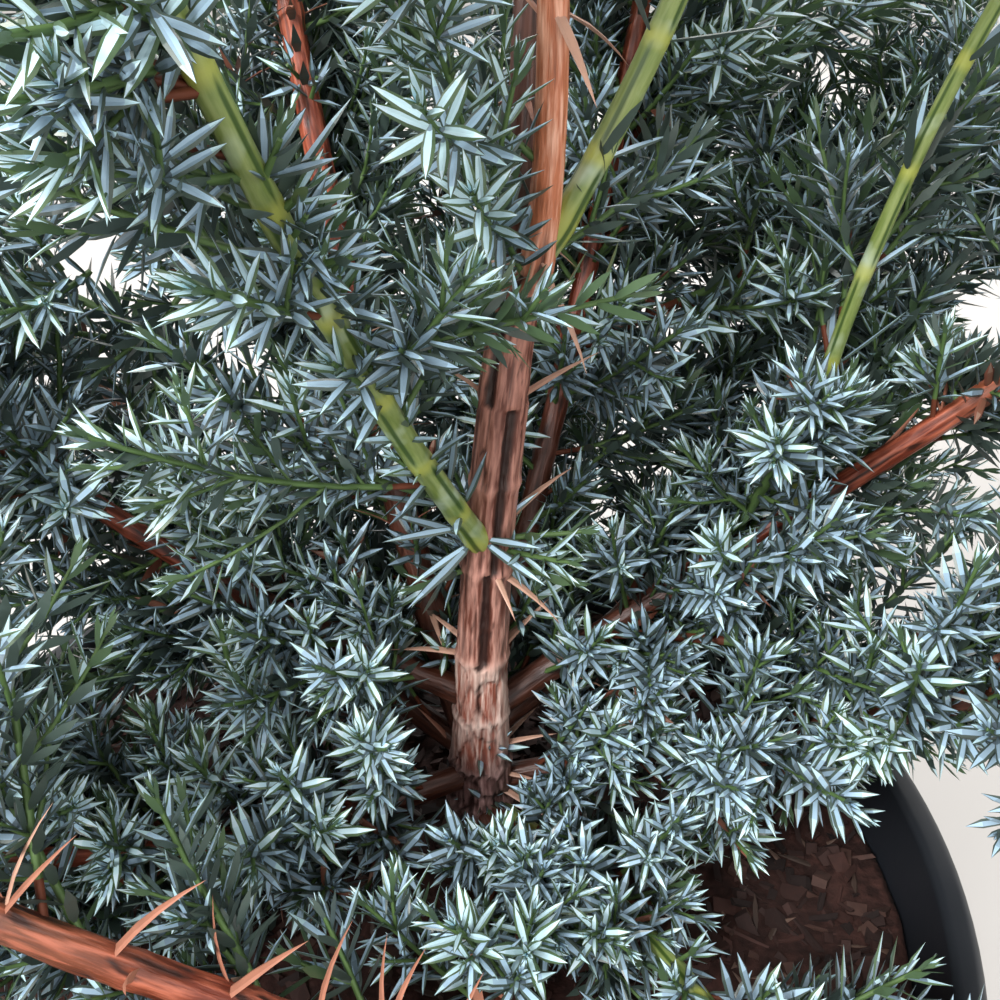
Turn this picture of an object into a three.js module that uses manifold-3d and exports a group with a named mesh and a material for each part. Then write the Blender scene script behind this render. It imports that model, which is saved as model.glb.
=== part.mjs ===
// A young blue needle juniper in a round plastic nursery pot, in millimetres, +Z up.
// The origin is the centre of the pot's flat underside. The trunk stands a little off the pot's centre.
// Limbs are tapering solids, and every mass of foliage is one closed, uneven solid round its own axis.
import * as THREE from "three";
import { mergeVertices } from "three/addons/utils/BufferGeometryUtils.js";
import Module from "manifold-3d";

const wasm = await Module();
wasm.setup();

// Pot and compost
const POT_HEIGHT = 130;
const RIM_RADIUS = 85;
const RIM_DEPTH = 12;
const RIM_WIDTH = 4.7;
const POT_FOOT_RADIUS = 61;
const POT_WALL = 1.8;
const POT_FLOOR = 2.6;
const HEADSPACE = 12;
const SOIL_TOP = POT_HEIGHT - HEADSPACE;
const DRAIN_HOLES = 8;
const DRAIN_RADIUS = 4;
const DRAIN_CIRCLE = 47;
const DRAIN_SIDES = 12;
const LIP_ROUND = 1;
const ROUND_STEPS = 48;

// Clearance between neighbours, and the finest facet kept
const GAP = 0.35;
const SLIVER = 0.15;

// Trunk: its foot in plan, then its sway, as points above the compost
const TRUNK_FOOT = new THREE.Vector3(11, 16, SOIL_TOP);
const TRUNK_SWAY = [
  [0, 0, 0], [0.5, 0, 30], [1.8, 0, 59], [5, 0, 92], [8.2, -1, 104],
  [8.9, -2, 128], [7, -1, 165], [5, 1, 205], [5, 2, 245], [4, 3, 282],
];

// Its thickness at fractions of its length. It is slimmer above the fork where two limbs leave it.
const TRUNK_THICK = [
  [0, 9.2], [0.1, 7.8], [0.2, 6.8], [0.3, 6.1], [0.33, 5.4], [0.37, 3.7], [0.45, 3.2], [1, 1.4],
];
const ROOT_FLARE = 1.35;
const FLARE_SHARE = 0.035;

// Limbs: each one's parent, the fraction of the parent's length where it leaves, its heading in plan (0 is
// +X, 90 is +Y) and its rise above the level, both turning evenly from foot to tip, its length, its thickness
// from foot to tip, and the fraction of its length that stays bare before foliage hides it.
function limb(parent, at, heading, rise, length, thick, bare) {
  return { parent, at, heading, rise, length, thick, bare };
}
const LIMBS = {
  bough_right: limb("trunk", 0.085, [29, -38], [22, 65], 140, [4.6, 2.2], 0.66),
  bough_back_right: limb("trunk", 0.085, [68, 60], [49, 78], 178, [4.2, 1.8], 0.6),
  stem_left: limb("trunk", 0.04, [130, 105], [63, 74], 196, [5.4, 2], 0.62),
  stem_dark: limb("trunk", 0.315, [78, 91], [75, 70], 168, [3.4, 1.8], 0.55),
  leader_left: limb("trunk", 0.206, [236, 238], [56, 78], 158, [3.4, 1.8], 0.33),
  leader_right: limb("trunk", 0.362, [20, 40], [55, 91], 112, [3.1, 1.6], 0.38),
  leader_far_right: limb("bough_right", 0.42, [19, -16], [89, 58], 128, [2.3, 1.5], 0.76),
  bough_front_left_foot: limb("trunk", 0.016, [-62, -124], [1, 23], 56, [5, 4.8], 0.97),
  bough_front_left: limb("bough_front_left_foot", 1, [-171, -178], [42, 52], 138, [4.8, 2], 0.62),
  bough_front: limb("trunk", 0.014, [-42, -98], [9, 28], 118, [2.8, 1.6], 0.14),
  bough_left_low: limb("trunk", 0.04, [212, 198], [6, 44], 128, [4, 1.8], 0.16),
  bough_left: limb("trunk", 0.1, [172, 176], [20, 62], 140, [4.2, 1.8], 0.28),
  bough_back: limb("trunk", 0.06, [84, 96], [16, 58], 140, [4.2, 1.8], 0.28),
  bough_back_left: limb("trunk", 0.05, [148, 136], [12, 50], 134, [4, 1.8], 0.24),
  bough_right_back: limb("trunk", 0.07, [36, 48], [12, 56], 132, [4, 1.8], 0.26),
  bough_right_front: limb("trunk", 0.03, [2, -54], [14, 58], 130, [3.8, 1.8], 0.16),
  bough_high_right: limb("trunk", 0.54, [-46, -24], [30, 64], 104, [3, 1.6], 0.34),
  bough_high_left: limb("trunk", 0.58, [206, 222], [30, 64], 102, [3, 1.6], 0.34),
  bough_high_back: limb("trunk", 0.66, [46, 30], [32, 66], 90, [2.6, 1.6], 0.34),
};

// Masses of foliage. A plume surrounds its limb between two fractions of the limb's length, and may run past
// its tip. A spray stands on the side of its limb, with a heading, a rise and a length of its own.
// The girth is a mass's half width.
function plume(limb, from, to, girth) {
  return { limb, from, to, girth, surrounds: true };
}
function spray(limb, at, heading, rise, length, girth) {
  return { limb, at, heading, rise, length, girth, from: 0, to: 1, surrounds: false };
}
const MASSES = {
  spray_right_low: spray("bough_right", 0.17, -16, 2, 88, 25),
  spray_right_mid: spray("bough_right", 0.2, 62, 30, 58, 20),
  spray_right_up: spray("bough_right", 0.34, -62, 66, 42, 14),
  tuft_right: plume("bough_right", 0.62, 1.28, 30),
  tuft_far_right: plume("leader_far_right", 0.7, 1.36, 27),
  tuft_back_right: plume("bough_back_right", 0.54, 1.14, 34),
  spray_back_right_low: spray("bough_back_right", 0.34, 18, 10, 88, 32),
  spray_back_right_high: spray("bough_back_right", 0.5, 46, 26, 86, 32),
  spray_stem_left_front: spray("stem_left", 0.4, 212, 18, 62, 18),
  spray_stem_left_out: spray("stem_left", 0.26, 166, 24, 98, 33),
  spray_stem_left_back: spray("stem_left", 0.46, 104, 34, 88, 34),
  tuft_stem_left: plume("stem_left", 0.56, 1.04, 34),
  tuft_dark: plume("stem_dark", 0.46, 1.06, 34),
  spray_leader_left: plume("leader_left", 0.32, 0.64, 16),
  tuft_leader_left: plume("leader_left", 0.67, 1.08, 25),
  tuft_leader_right: plume("leader_right", 0.36, 1.1, 29),
  tuft_front_left: plume("bough_front_left", 0.56, 1.3, 33),
  spray_front: plume("bough_front", 0.12, 0.5, 17),
  tuft_front: plume("bough_front", 0.53, 1.12, 31),
  spray_left_low: plume("bough_left_low", 0.12, 0.53, 25),
  tuft_left_low: plume("bough_left_low", 0.56, 1.28, 34),
  spray_right_front: plume("bough_right_front", 0.12, 0.53, 24),
  tuft_right_front: plume("bough_right_front", 0.54, 1.2, 33),
  spray_left: plume("bough_left", 0.24, 0.6, 28),
  tuft_left: plume("bough_left", 0.6, 1.4, 35),
  spray_back: plume("bough_back", 0.24, 0.6, 28),
  tuft_back: plume("bough_back", 0.6, 1.32, 36),
  spray_back_left: plume("bough_back_left", 0.2, 0.57, 28),
  tuft_back_left: plume("bough_back_left", 0.58, 1.32, 36),
  spray_right_back: plume("bough_right_back", 0.22, 0.58, 28),
  tuft_right_back: plume("bough_right_back", 0.6, 1.32, 36),
  tuft_high_right: plume("bough_high_right", 0.3, 1.2, 33),
  tuft_high_left: plume("bough_high_left", 0.3, 1.2, 33),
  tuft_high_back: plume("bough_high_back", 0.3, 1.2, 32),
  spray_high_front: spray("trunk", 0.72, -84, 44, 70, 31),
  spray_high_rear: spray("trunk", 0.7, 168, 44, 68, 30),
  crown_top: plume("trunk", 0.78, 1.06, 32),
};

// Limbs still green, and how far a spray's rise changes either way along its length
const GREEN_LIMBS = ["leader_left", "leader_right", "leader_far_right", "bough_front"];
const SPRAY_ARCH = 10;

// Unevenness of a mass: its fullness at either end, and its lumps as [height, waves round it, waves along it]
const FULL_AT_START = 1.15;
const FULL_AT_TIP = 0.65;
const LUMPS = [[0.13, 3, 5], [0.1, 2, -9], [0.07, 5, 2]];

// Facets
const TRUNK_SIDES = 9;
const TRUNK_RINGS = 15;
const LIMB_SIDES = 6;
const LIMB_RINGS = 5;
const MASS_SIDES = 7;
const MASS_RINGS = 6;
const FRAME_STEPS = 48;
const CURVE_STEPS = 16;

// Colours, roughness
const BARK = new THREE.MeshStandardMaterial({ color: 0x9a5a40, roughness: 0.85, metalness: 0 });
const GREEN_STEM = new THREE.MeshStandardMaterial({ color: 0x8aa060, roughness: 0.6, metalness: 0 });
const FOLIAGE = new THREE.MeshStandardMaterial({ color: 0x6f8f90, roughness: 0.7, metalness: 0 });
const PLASTIC = new THREE.MeshStandardMaterial({ color: 0x222429, roughness: 0.45, metalness: 0 });
const COMPOST = new THREE.MeshStandardMaterial({ color: 0x2e1d18, roughness: 0.95, metalness: 0 });

const radians = THREE.MathUtils.degToRad;

// A unit direction from a heading in plan and a rise above the level, in degrees.
function direction(heading, rise) {
  const level = Math.cos(radians(rise));
  return new THREE.Vector3(
    level * Math.cos(radians(heading)),
    level * Math.sin(radians(heading)),
    Math.sin(radians(rise)),
  );
}

// A curve from a foot whose heading and rise turn evenly along its length.
function turningCurve(foot, heading, rise, length) {
  const points = [foot.clone()];
  for (let i = 0; i < CURVE_STEPS; i++) {
    const s = (i + 0.5) / CURVE_STEPS;
    const step = direction(
      THREE.MathUtils.lerp(heading[0], heading[1], s),
      THREE.MathUtils.lerp(rise[0], rise[1], s),
    );
    points.push(points[i].clone().addScaledVector(step, length / CURVE_STEPS));
  }
  return new THREE.CatmullRomCurve3(points);
}

const curves = {
  trunk: new THREE.CatmullRomCurve3(TRUNK_SWAY.map((p) => new THREE.Vector3(...p).add(TRUNK_FOOT))),
};
for (const [name, { parent, at, heading, rise, length }] of Object.entries(LIMBS)) {
  curves[name] = turningCurve(curves[parent].getPointAt(at), heading, rise, length);
}

// A point at a fraction of a curve, running straight on before its start and past its end.
function pointOn(curve, s) {
  const held = THREE.MathUtils.clamp(s, 0, 1);
  const past = (s - held) * curve.getLength();
  return curve.getPointAt(held).addScaledVector(curve.getTangentAt(held), past);
}

// Bends a solid whose length runs along Y from -1 to 1 to follow a stretch of a curve.
// "place" gives, for each corner, its fraction of the stretch and its offset across the curve.
function bendAlong(geometry, curve, from, to, place) {
  const frames = curve.computeFrenetFrames(FRAME_STEPS, false);
  const corners = geometry.getAttribute("position");
  const corner = new THREE.Vector3();
  for (let i = 0; i < corners.count; i++) {
    corner.fromBufferAttribute(corners, i);
    const { along, across, up } = place(corner);
    const s = THREE.MathUtils.lerp(from, to, along);
    const frame = Math.round(THREE.MathUtils.clamp(s, 0, 1) * FRAME_STEPS);
    const at = pointOn(curve, s)
      .addScaledVector(frames.normals[frame], across)
      .addScaledVector(frames.binormals[frame], up);
    corners.setXYZ(i, at.x, at.y, at.z);
  }
  return solidOf(geometry);
}

// A closed geometry as a solid whose faces point out.
function solidOf(geometry) {
  geometry.deleteAttribute("normal");
  geometry.deleteAttribute("uv");
  const merged = mergeVertices(geometry, 1e-4);
  const triVerts = new Uint32Array(merged.index.array);
  const vertProperties = new Float32Array(merged.attributes.position.array);
  let solid = new wasm.Manifold(new wasm.Mesh({ numProp: 3, vertProperties, triVerts }));
  if (solid.volume() < 0) {
    for (let i = 0; i < triVerts.length; i += 3) {
      [triVerts[i + 1], triVerts[i + 2]] = [triVerts[i + 2], triVerts[i + 1]];
    }
    solid = new wasm.Manifold(new wasm.Mesh({ numProp: 3, vertProperties, triVerts }));
  }
  return solid;
}

// A tapering limb along the stretch of its curve from its foot to a fraction. "grow" thickens it all round.
function limbSolid(curve, until, radiusAt, sides, rings, grow) {
  const tube = new THREE.CylinderGeometry(1, 1, 2, sides, rings);
  const growth = grow / curve.getLength();
  return bendAlong(tube, curve, -growth, until + growth, (c) => {
    const along = (c.y + 1) / 2;
    const radius = radiusAt(along * until) + grow;
    return { along, across: c.x * radius, up: c.z * radius };
  });
}

function trunkRadius(s) {
  const held = THREE.MathUtils.clamp(s, 0, 1);
  const next = Math.max(1, TRUNK_THICK.findIndex(([at]) => at >= held));
  const [low, thick] = TRUNK_THICK[next - 1];
  const [high, slim] = TRUNK_THICK[next];
  const taper = THREE.MathUtils.mapLinear(held, low, high, thick, slim) / 2;
  const flare = 1 + (ROOT_FLARE - 1) * Math.exp(-s / FLARE_SHARE);
  return taper * flare;
}

function limbRadius(thick) {
  return (s) => THREE.MathUtils.lerp(thick[0], thick[1], s) / 2;
}

// An uneven, closed mass round its axis: full near its start, slimmer towards its tip, lumpy all over.
function massSolid(curve, { from, to, girth }, seed, grow) {
  const ball = new THREE.SphereGeometry(1, MASS_SIDES, MASS_RINGS);
  const growth = grow / curve.getLength();
  return bendAlong(ball, curve, from - growth, to + growth, (c) => {
    const along = (1 - c.y) / 2;
    const roundness = Math.hypot(c.x, c.z);
    const angle = Math.atan2(c.z, c.x);
    const fullness = THREE.MathUtils.lerp(FULL_AT_START, FULL_AT_TIP, along);
    const lumps = LUMPS.reduce(
      (sum, [height, round, lengthwise]) =>
        sum + height * Math.sin(round * (angle + seed) + lengthwise * (along + seed)),
      1,
    );
    const radius = roundness * (girth * fullness * lumps + grow);
    return { along, across: radius * Math.cos(angle), up: radius * Math.sin(angle) };
  });
}

// The curve that a mass follows: its limb's, or one of its own where it is a spray.
function massAxis({ limb, surrounds, at, heading, rise, length }) {
  if (surrounds) return curves[limb];
  const rises = [rise + SPRAY_ARCH, rise - SPRAY_ARCH];
  return turningCurve(curves[limb].getPointAt(at), [heading, heading], rises, length);
}

// A solid of revolution about Z from a closed outline of [radius, height] corners.
function turned(outline) {
  const corners = outline.map(([r, z]) => new THREE.Vector2(r, z));
  const lathe = new THREE.LatheGeometry([...corners, corners[0]], ROUND_STEPS);
  lathe.rotateX(Math.PI / 2);
  return solidOf(lathe);
}

// The radius of the pot's outer wall at a height.
function wallRadius(z) {
  const top = RIM_RADIUS - RIM_WIDTH + POT_WALL;
  return THREE.MathUtils.lerp(POT_FOOT_RADIUS, top, z / POT_HEIGHT);
}

// The pot: a tapering wall with a thicker rim, a flat floor and a ring of drain holes.
function potSolid() {
  const skirt = POT_HEIGHT - RIM_DEPTH;
  const inner = RIM_RADIUS - RIM_WIDTH;
  const shell = turned([
    [0, 0],
    [POT_FOOT_RADIUS, 0],
    [wallRadius(skirt), skirt],
    [RIM_RADIUS, skirt],
    [RIM_RADIUS, POT_HEIGHT - LIP_ROUND],
    [RIM_RADIUS - LIP_ROUND, POT_HEIGHT],
    [inner + LIP_ROUND, POT_HEIGHT],
    [inner, POT_HEIGHT - LIP_ROUND],
    [wallRadius(POT_FLOOR) - POT_WALL, POT_FLOOR],
    [0, POT_FLOOR],
  ]);
  let pot = shell;
  for (let i = 0; i < DRAIN_HOLES; i++) {
    const angle = (2 * Math.PI * i) / DRAIN_HOLES;
    const hole = new THREE.CylinderGeometry(DRAIN_RADIUS, DRAIN_RADIUS, 3 * POT_FLOOR, DRAIN_SIDES);
    hole.rotateX(Math.PI / 2);
    hole.translate(DRAIN_CIRCLE * Math.cos(angle), DRAIN_CIRCLE * Math.sin(angle), POT_FLOOR / 2);
    pot = pot.subtract(solidOf(hole));
  }
  return pot;
}

// The compost: it fills the pot up to the headspace, clear of the floor and the wall.
function compostSolid() {
  const low = POT_FLOOR + GAP;
  return turned([
    [0, low],
    [wallRadius(low) - POT_WALL - GAP, low],
    [wallRadius(SOIL_TOP) - POT_WALL - GAP, SOIL_TOP],
    [0, SOIL_TOP],
  ]);
}

// Everything of the pot that foliage keeps clear of: the rim and wall, and the compost's surface.
function potKeepOut() {
  const inside = wallRadius(SOIL_TOP) - POT_WALL - GAP;
  const wall = turned([
    [inside, SOIL_TOP - 1],
    [RIM_RADIUS + GAP, SOIL_TOP - 1],
    [RIM_RADIUS + GAP, POT_HEIGHT + GAP],
    [inside, POT_HEIGHT + GAP],
  ]);
  const filling = turned([
    [0, 0],
    [RIM_RADIUS + GAP, 0],
    [RIM_RADIUS + GAP, SOIL_TOP + GAP],
    [0, SOIL_TOP + GAP],
  ]);
  return wall.add(filling);
}

// The largest of a solid's separate bodies, without its slivers.
function largest(solid) {
  const bulkier = (best, body) => (body.volume() > best.volume() ? body : best);
  const main = solid.decompose().reduce(bulkier).simplify(SLIVER);
  return main.decompose().reduce(bulkier);
}

function mesh(name, solid, material) {
  const made = solid.getMesh();
  const geometry = new THREE.BufferGeometry();
  geometry.setAttribute("position", new THREE.BufferAttribute(new Float32Array(made.vertProperties), 3));
  geometry.setIndex(new THREE.BufferAttribute(new Uint32Array(made.triVerts), 1));
  const piece = new THREE.Mesh(geometry, material);
  piece.name = name;
  return piece;
}

const plant = new THREE.Group();
plant.name = "potted_juniper";
plant.add(mesh("pot", potSolid(), PLASTIC));
plant.add(mesh("compost", compostSolid(), COMPOST));

// The trunk, cut flat at the compost. Its thicker twin is what limbs and masses are cut by.
const trunk = limbSolid(curves.trunk, 1, trunkRadius, TRUNK_SIDES, TRUNK_RINGS, 0);
const belowGround = turned([
  [0, 0],
  [RIM_RADIUS, 0],
  [RIM_RADIUS, SOIL_TOP],
  [0, SOIL_TOP],
]);
plant.add(mesh("trunk", largest(trunk.subtract(belowGround)), BARK));
const thickTrunk = limbSolid(curves.trunk, 1, trunkRadius, TRUNK_SIDES, TRUNK_RINGS, GAP);

// Raw masses, each with a thicker twin, in the order in which they claim space.
const rawMasses = Object.entries(MASSES).map(([name, mass], index) => {
  const axis = massAxis(mass);
  const solid = massSolid(axis, mass, index + 1, 0);
  const thick = massSolid(axis, mass, index + 1, GAP);
  return { name, limb: mass.limb, surrounds: mass.surrounds, solid, thick };
});

// Limbs end where they enter the foliage that surrounds them, and keep clear of the limbs before them.
const limbs = [];
for (const [name, { thick, bare }] of Object.entries(LIMBS)) {
  const radius = limbRadius(thick);
  let solid = limbSolid(curves[name], bare, radius, LIMB_SIDES, LIMB_RINGS, 0).subtract(thickTrunk);
  for (const earlier of limbs) solid = solid.subtract(earlier.thick);
  for (const mass of rawMasses) {
    if (mass.limb === name && mass.surrounds) solid = solid.subtract(mass.thick);
  }
  const material = GREEN_LIMBS.includes(name) ? GREEN_STEM : BARK;
  plant.add(mesh(name, largest(solid), material));
  limbs.push({ thick: limbSolid(curves[name], bare, radius, LIMB_SIDES, LIMB_RINGS, GAP) });
}

// Masses keep clear of the pot, the trunk, the limbs and the masses before them.
const keepOut = potKeepOut();
rawMasses.forEach((mass, index) => {
  let solid = mass.solid.subtract(keepOut).subtract(thickTrunk);
  for (const limb of limbs) solid = solid.subtract(limb.thick);
  for (const earlier of rawMasses.slice(0, index)) solid = solid.subtract(earlier.thick);
  plant.add(mesh(mass.name, largest(solid), FOLIAGE));
});

export default plant;
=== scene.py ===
"""A young blue needle juniper in a round black nursery pot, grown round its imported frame."""
import bisect
import math
import random

import bmesh
import bpy
from bpy.props import FloatProperty, FloatVectorProperty, IntProperty, PointerProperty
from bpy.types import NodeSocket, Operator, Panel, PropertyGroup
from mathutils import Matrix, Quaternion, Vector, noise
from mathutils.bvhtree import BVHTree
from mathutils.kdtree import KDTree


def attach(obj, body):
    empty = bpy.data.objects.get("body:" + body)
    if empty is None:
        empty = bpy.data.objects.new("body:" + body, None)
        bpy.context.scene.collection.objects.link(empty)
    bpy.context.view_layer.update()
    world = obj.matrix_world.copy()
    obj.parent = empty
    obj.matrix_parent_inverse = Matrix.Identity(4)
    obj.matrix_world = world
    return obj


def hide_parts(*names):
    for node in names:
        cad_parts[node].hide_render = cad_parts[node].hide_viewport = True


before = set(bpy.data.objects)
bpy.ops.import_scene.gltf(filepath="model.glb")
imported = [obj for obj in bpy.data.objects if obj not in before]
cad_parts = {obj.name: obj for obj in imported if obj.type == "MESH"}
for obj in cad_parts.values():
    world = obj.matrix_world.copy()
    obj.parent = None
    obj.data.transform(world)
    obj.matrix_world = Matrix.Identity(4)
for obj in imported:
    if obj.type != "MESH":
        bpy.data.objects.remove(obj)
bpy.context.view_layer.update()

bl_info = {
    "name": "Potted juniper",
    "version": (1, 0, 0),
    "blender": (4, 5, 0),
    "location": "View3D > Sidebar > Juniper",
    "description": "Grows a young needle juniper in a nursery pot round its packed frame",
    "category": "Object",
}

# Lengths in the tables below are in millimetres, angles in degrees. Blender works in metres.
MM = 0.001
UP = Vector((0, 0, 1))
TURN = 2 * math.pi

# Pot and compost. The wall is a little narrower at the compost's level than at the rim, the filling stands
# clear of it, and loose pieces lie further in
POT_HEIGHT = 130
RIM_RADIUS = 85
RIM_DEPTH = 12
RIM_WIDTH = 4.7
POT_FOOT_RADIUS = 61
POT_WALL = 1.8
POT_FLOOR = 2.6
COMPOST_TOP = 118
DRAIN_HOLES = 8
DRAIN_RADIUS = 4
DRAIN_CIRCLE = 47
LEVEL_NARROWER = 2.0
COMPOST_CLEAR = 0.5
LITTER_CLEAR = 4
OUTER_ROUND = 1.6
INNER_ROUND = 1.4
ARC_STEPS = 6

# Trunk: its foot in plan, and its sway as points above the compost
TRUNK_FOOT = (11, 16, COMPOST_TOP)
TRUNK_SWAY = [
    (0, 0, 0), (0.5, 0, 30), (1.8, 0, 59), (5, 0, 92), (8.2, -1, 104),
    (8.9, -2, 128), (7, -1, 165), (5, 1, 205), (5, 2, 245), (4, 3, 282),
]
TRUNK_THICK = [
    (0, 9.2), (0.1, 7.8), (0.2, 6.8), (0.3, 6.1), (0.33, 5.4), (0.37, 3.7), (0.45, 3.2), (1, 1.4),
]
ROOT_FLARE = 1.35
FLARE_SHARE = 0.035

# Limbs: parent, fraction of its length, heading in plan from foot to tip (0 is +X, 90 is +Y), rise above
# the level from foot to tip, length, thickness from foot to tip
LIMBS = {
    "bough_right": ("trunk", 0.085, (29, -38), (22, 65), 140, (4.6, 2.2)),
    "bough_back_right": ("trunk", 0.085, (68, 60), (49, 78), 178, (4.2, 1.8)),
    "stem_left": ("trunk", 0.04, (130, 105), (63, 74), 196, (5.4, 2)),
    "stem_dark": ("trunk", 0.315, (78, 91), (75, 70), 168, (3.4, 1.8)),
    "leader_left": ("trunk", 0.206, (236, 238), (56, 78), 158, (3.4, 1.8)),
    "leader_right": ("trunk", 0.362, (20, 40), (55, 91), 112, (3.1, 1.6)),
    "leader_far_right": ("bough_right", 0.42, (19, -16), (89, 58), 128, (2.3, 1.5)),
    "bough_front_left_foot": ("trunk", 0.016, (-62, -124), (1, 23), 56, (5, 4.8)),
    "bough_front_left": ("bough_front_left_foot", 1, (-171, -178), (42, 52), 138, (4.8, 2)),
    "bough_front": ("trunk", 0.014, (-42, -98), (9, 28), 118, (2.8, 1.6)),
    "bough_left_low": ("trunk", 0.04, (212, 198), (6, 44), 128, (4, 1.8)),
    "bough_left": ("trunk", 0.1, (172, 176), (20, 62), 140, (4.2, 1.8)),
    "bough_back": ("trunk", 0.06, (84, 96), (16, 58), 140, (4.2, 1.8)),
    "bough_back_left": ("trunk", 0.05, (148, 136), (12, 50), 134, (4, 1.8)),
    "bough_right_back": ("trunk", 0.07, (36, 48), (12, 56), 132, (4, 1.8)),
    "bough_right_front": ("trunk", 0.03, (2, -54), (14, 58), 130, (3.8, 1.8)),
    "bough_high_right": ("trunk", 0.54, (-46, -24), (30, 64), 104, (3, 1.6)),
    "bough_high_left": ("trunk", 0.58, (206, 222), (30, 64), 102, (3, 1.6)),
    "bough_high_back": ("trunk", 0.66, (46, 30), (32, 66), 90, (2.6, 1.6)),
}
GREEN_LIMBS = ("leader_left", "leader_right", "leader_far_right", "bough_front")

# Foliage that surrounds a limb between two fractions of its length
PLUMES = {
    "tuft_right": ("bough_right", 0.62, 1.28),
    "tuft_far_right": ("leader_far_right", 0.7, 1.36),
    "tuft_back_right": ("bough_back_right", 0.54, 1.14),
    "tuft_stem_left": ("stem_left", 0.56, 1.04),
    "tuft_dark": ("stem_dark", 0.46, 1.06),
    "spray_leader_left": ("leader_left", 0.32, 0.64),
    "tuft_leader_left": ("leader_left", 0.67, 1.08),
    "tuft_leader_right": ("leader_right", 0.36, 1.1),
    "tuft_front_left": ("bough_front_left", 0.56, 1.3),
    "spray_front": ("bough_front", 0.12, 0.5),
    "tuft_front": ("bough_front", 0.53, 1.12),
    "spray_left_low": ("bough_left_low", 0.12, 0.53),
    "tuft_left_low": ("bough_left_low", 0.56, 1.28),
    "spray_right_front": ("bough_right_front", 0.12, 0.53),
    "tuft_right_front": ("bough_right_front", 0.54, 1.2),
    "spray_left": ("bough_left", 0.24, 0.6),
    "tuft_left": ("bough_left", 0.6, 1.4),
    "spray_back": ("bough_back", 0.24, 0.6),
    "tuft_back": ("bough_back", 0.6, 1.32),
    "spray_back_left": ("bough_back_left", 0.2, 0.57),
    "tuft_back_left": ("bough_back_left", 0.58, 1.32),
    "spray_right_back": ("bough_right_back", 0.22, 0.58),
    "tuft_right_back": ("bough_right_back", 0.6, 1.32),
    "tuft_high_right": ("bough_high_right", 0.3, 1.2),
    "tuft_high_left": ("bough_high_left", 0.3, 1.2),
    "tuft_high_back": ("bough_high_back", 0.3, 1.2),
    "crown_top": ("trunk", 0.78, 1.06),
}

# Foliage that stands on a limb's side: limb, fraction of its length, heading, rise, length
SPRAYS = {
    "spray_right_low": ("bough_right", 0.17, -16, 2, 88),
    "spray_right_mid": ("bough_right", 0.2, 62, 30, 58),
    "spray_right_up": ("bough_right", 0.34, -62, 66, 42),
    "spray_back_right_low": ("bough_back_right", 0.34, 18, 10, 88),
    "spray_back_right_high": ("bough_back_right", 0.5, 46, 26, 86),
    "spray_stem_left_front": ("stem_left", 0.4, 212, 18, 62),
    "spray_stem_left_out": ("stem_left", 0.26, 166, 24, 98),
    "spray_stem_left_back": ("stem_left", 0.46, 104, 34, 88),
    "spray_high_front": ("trunk", 0.72, -84, 44, 70),
    "spray_high_rear": ("trunk", 0.7, 168, 44, 68),
}
SPRAY_ARCH = 10

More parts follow.
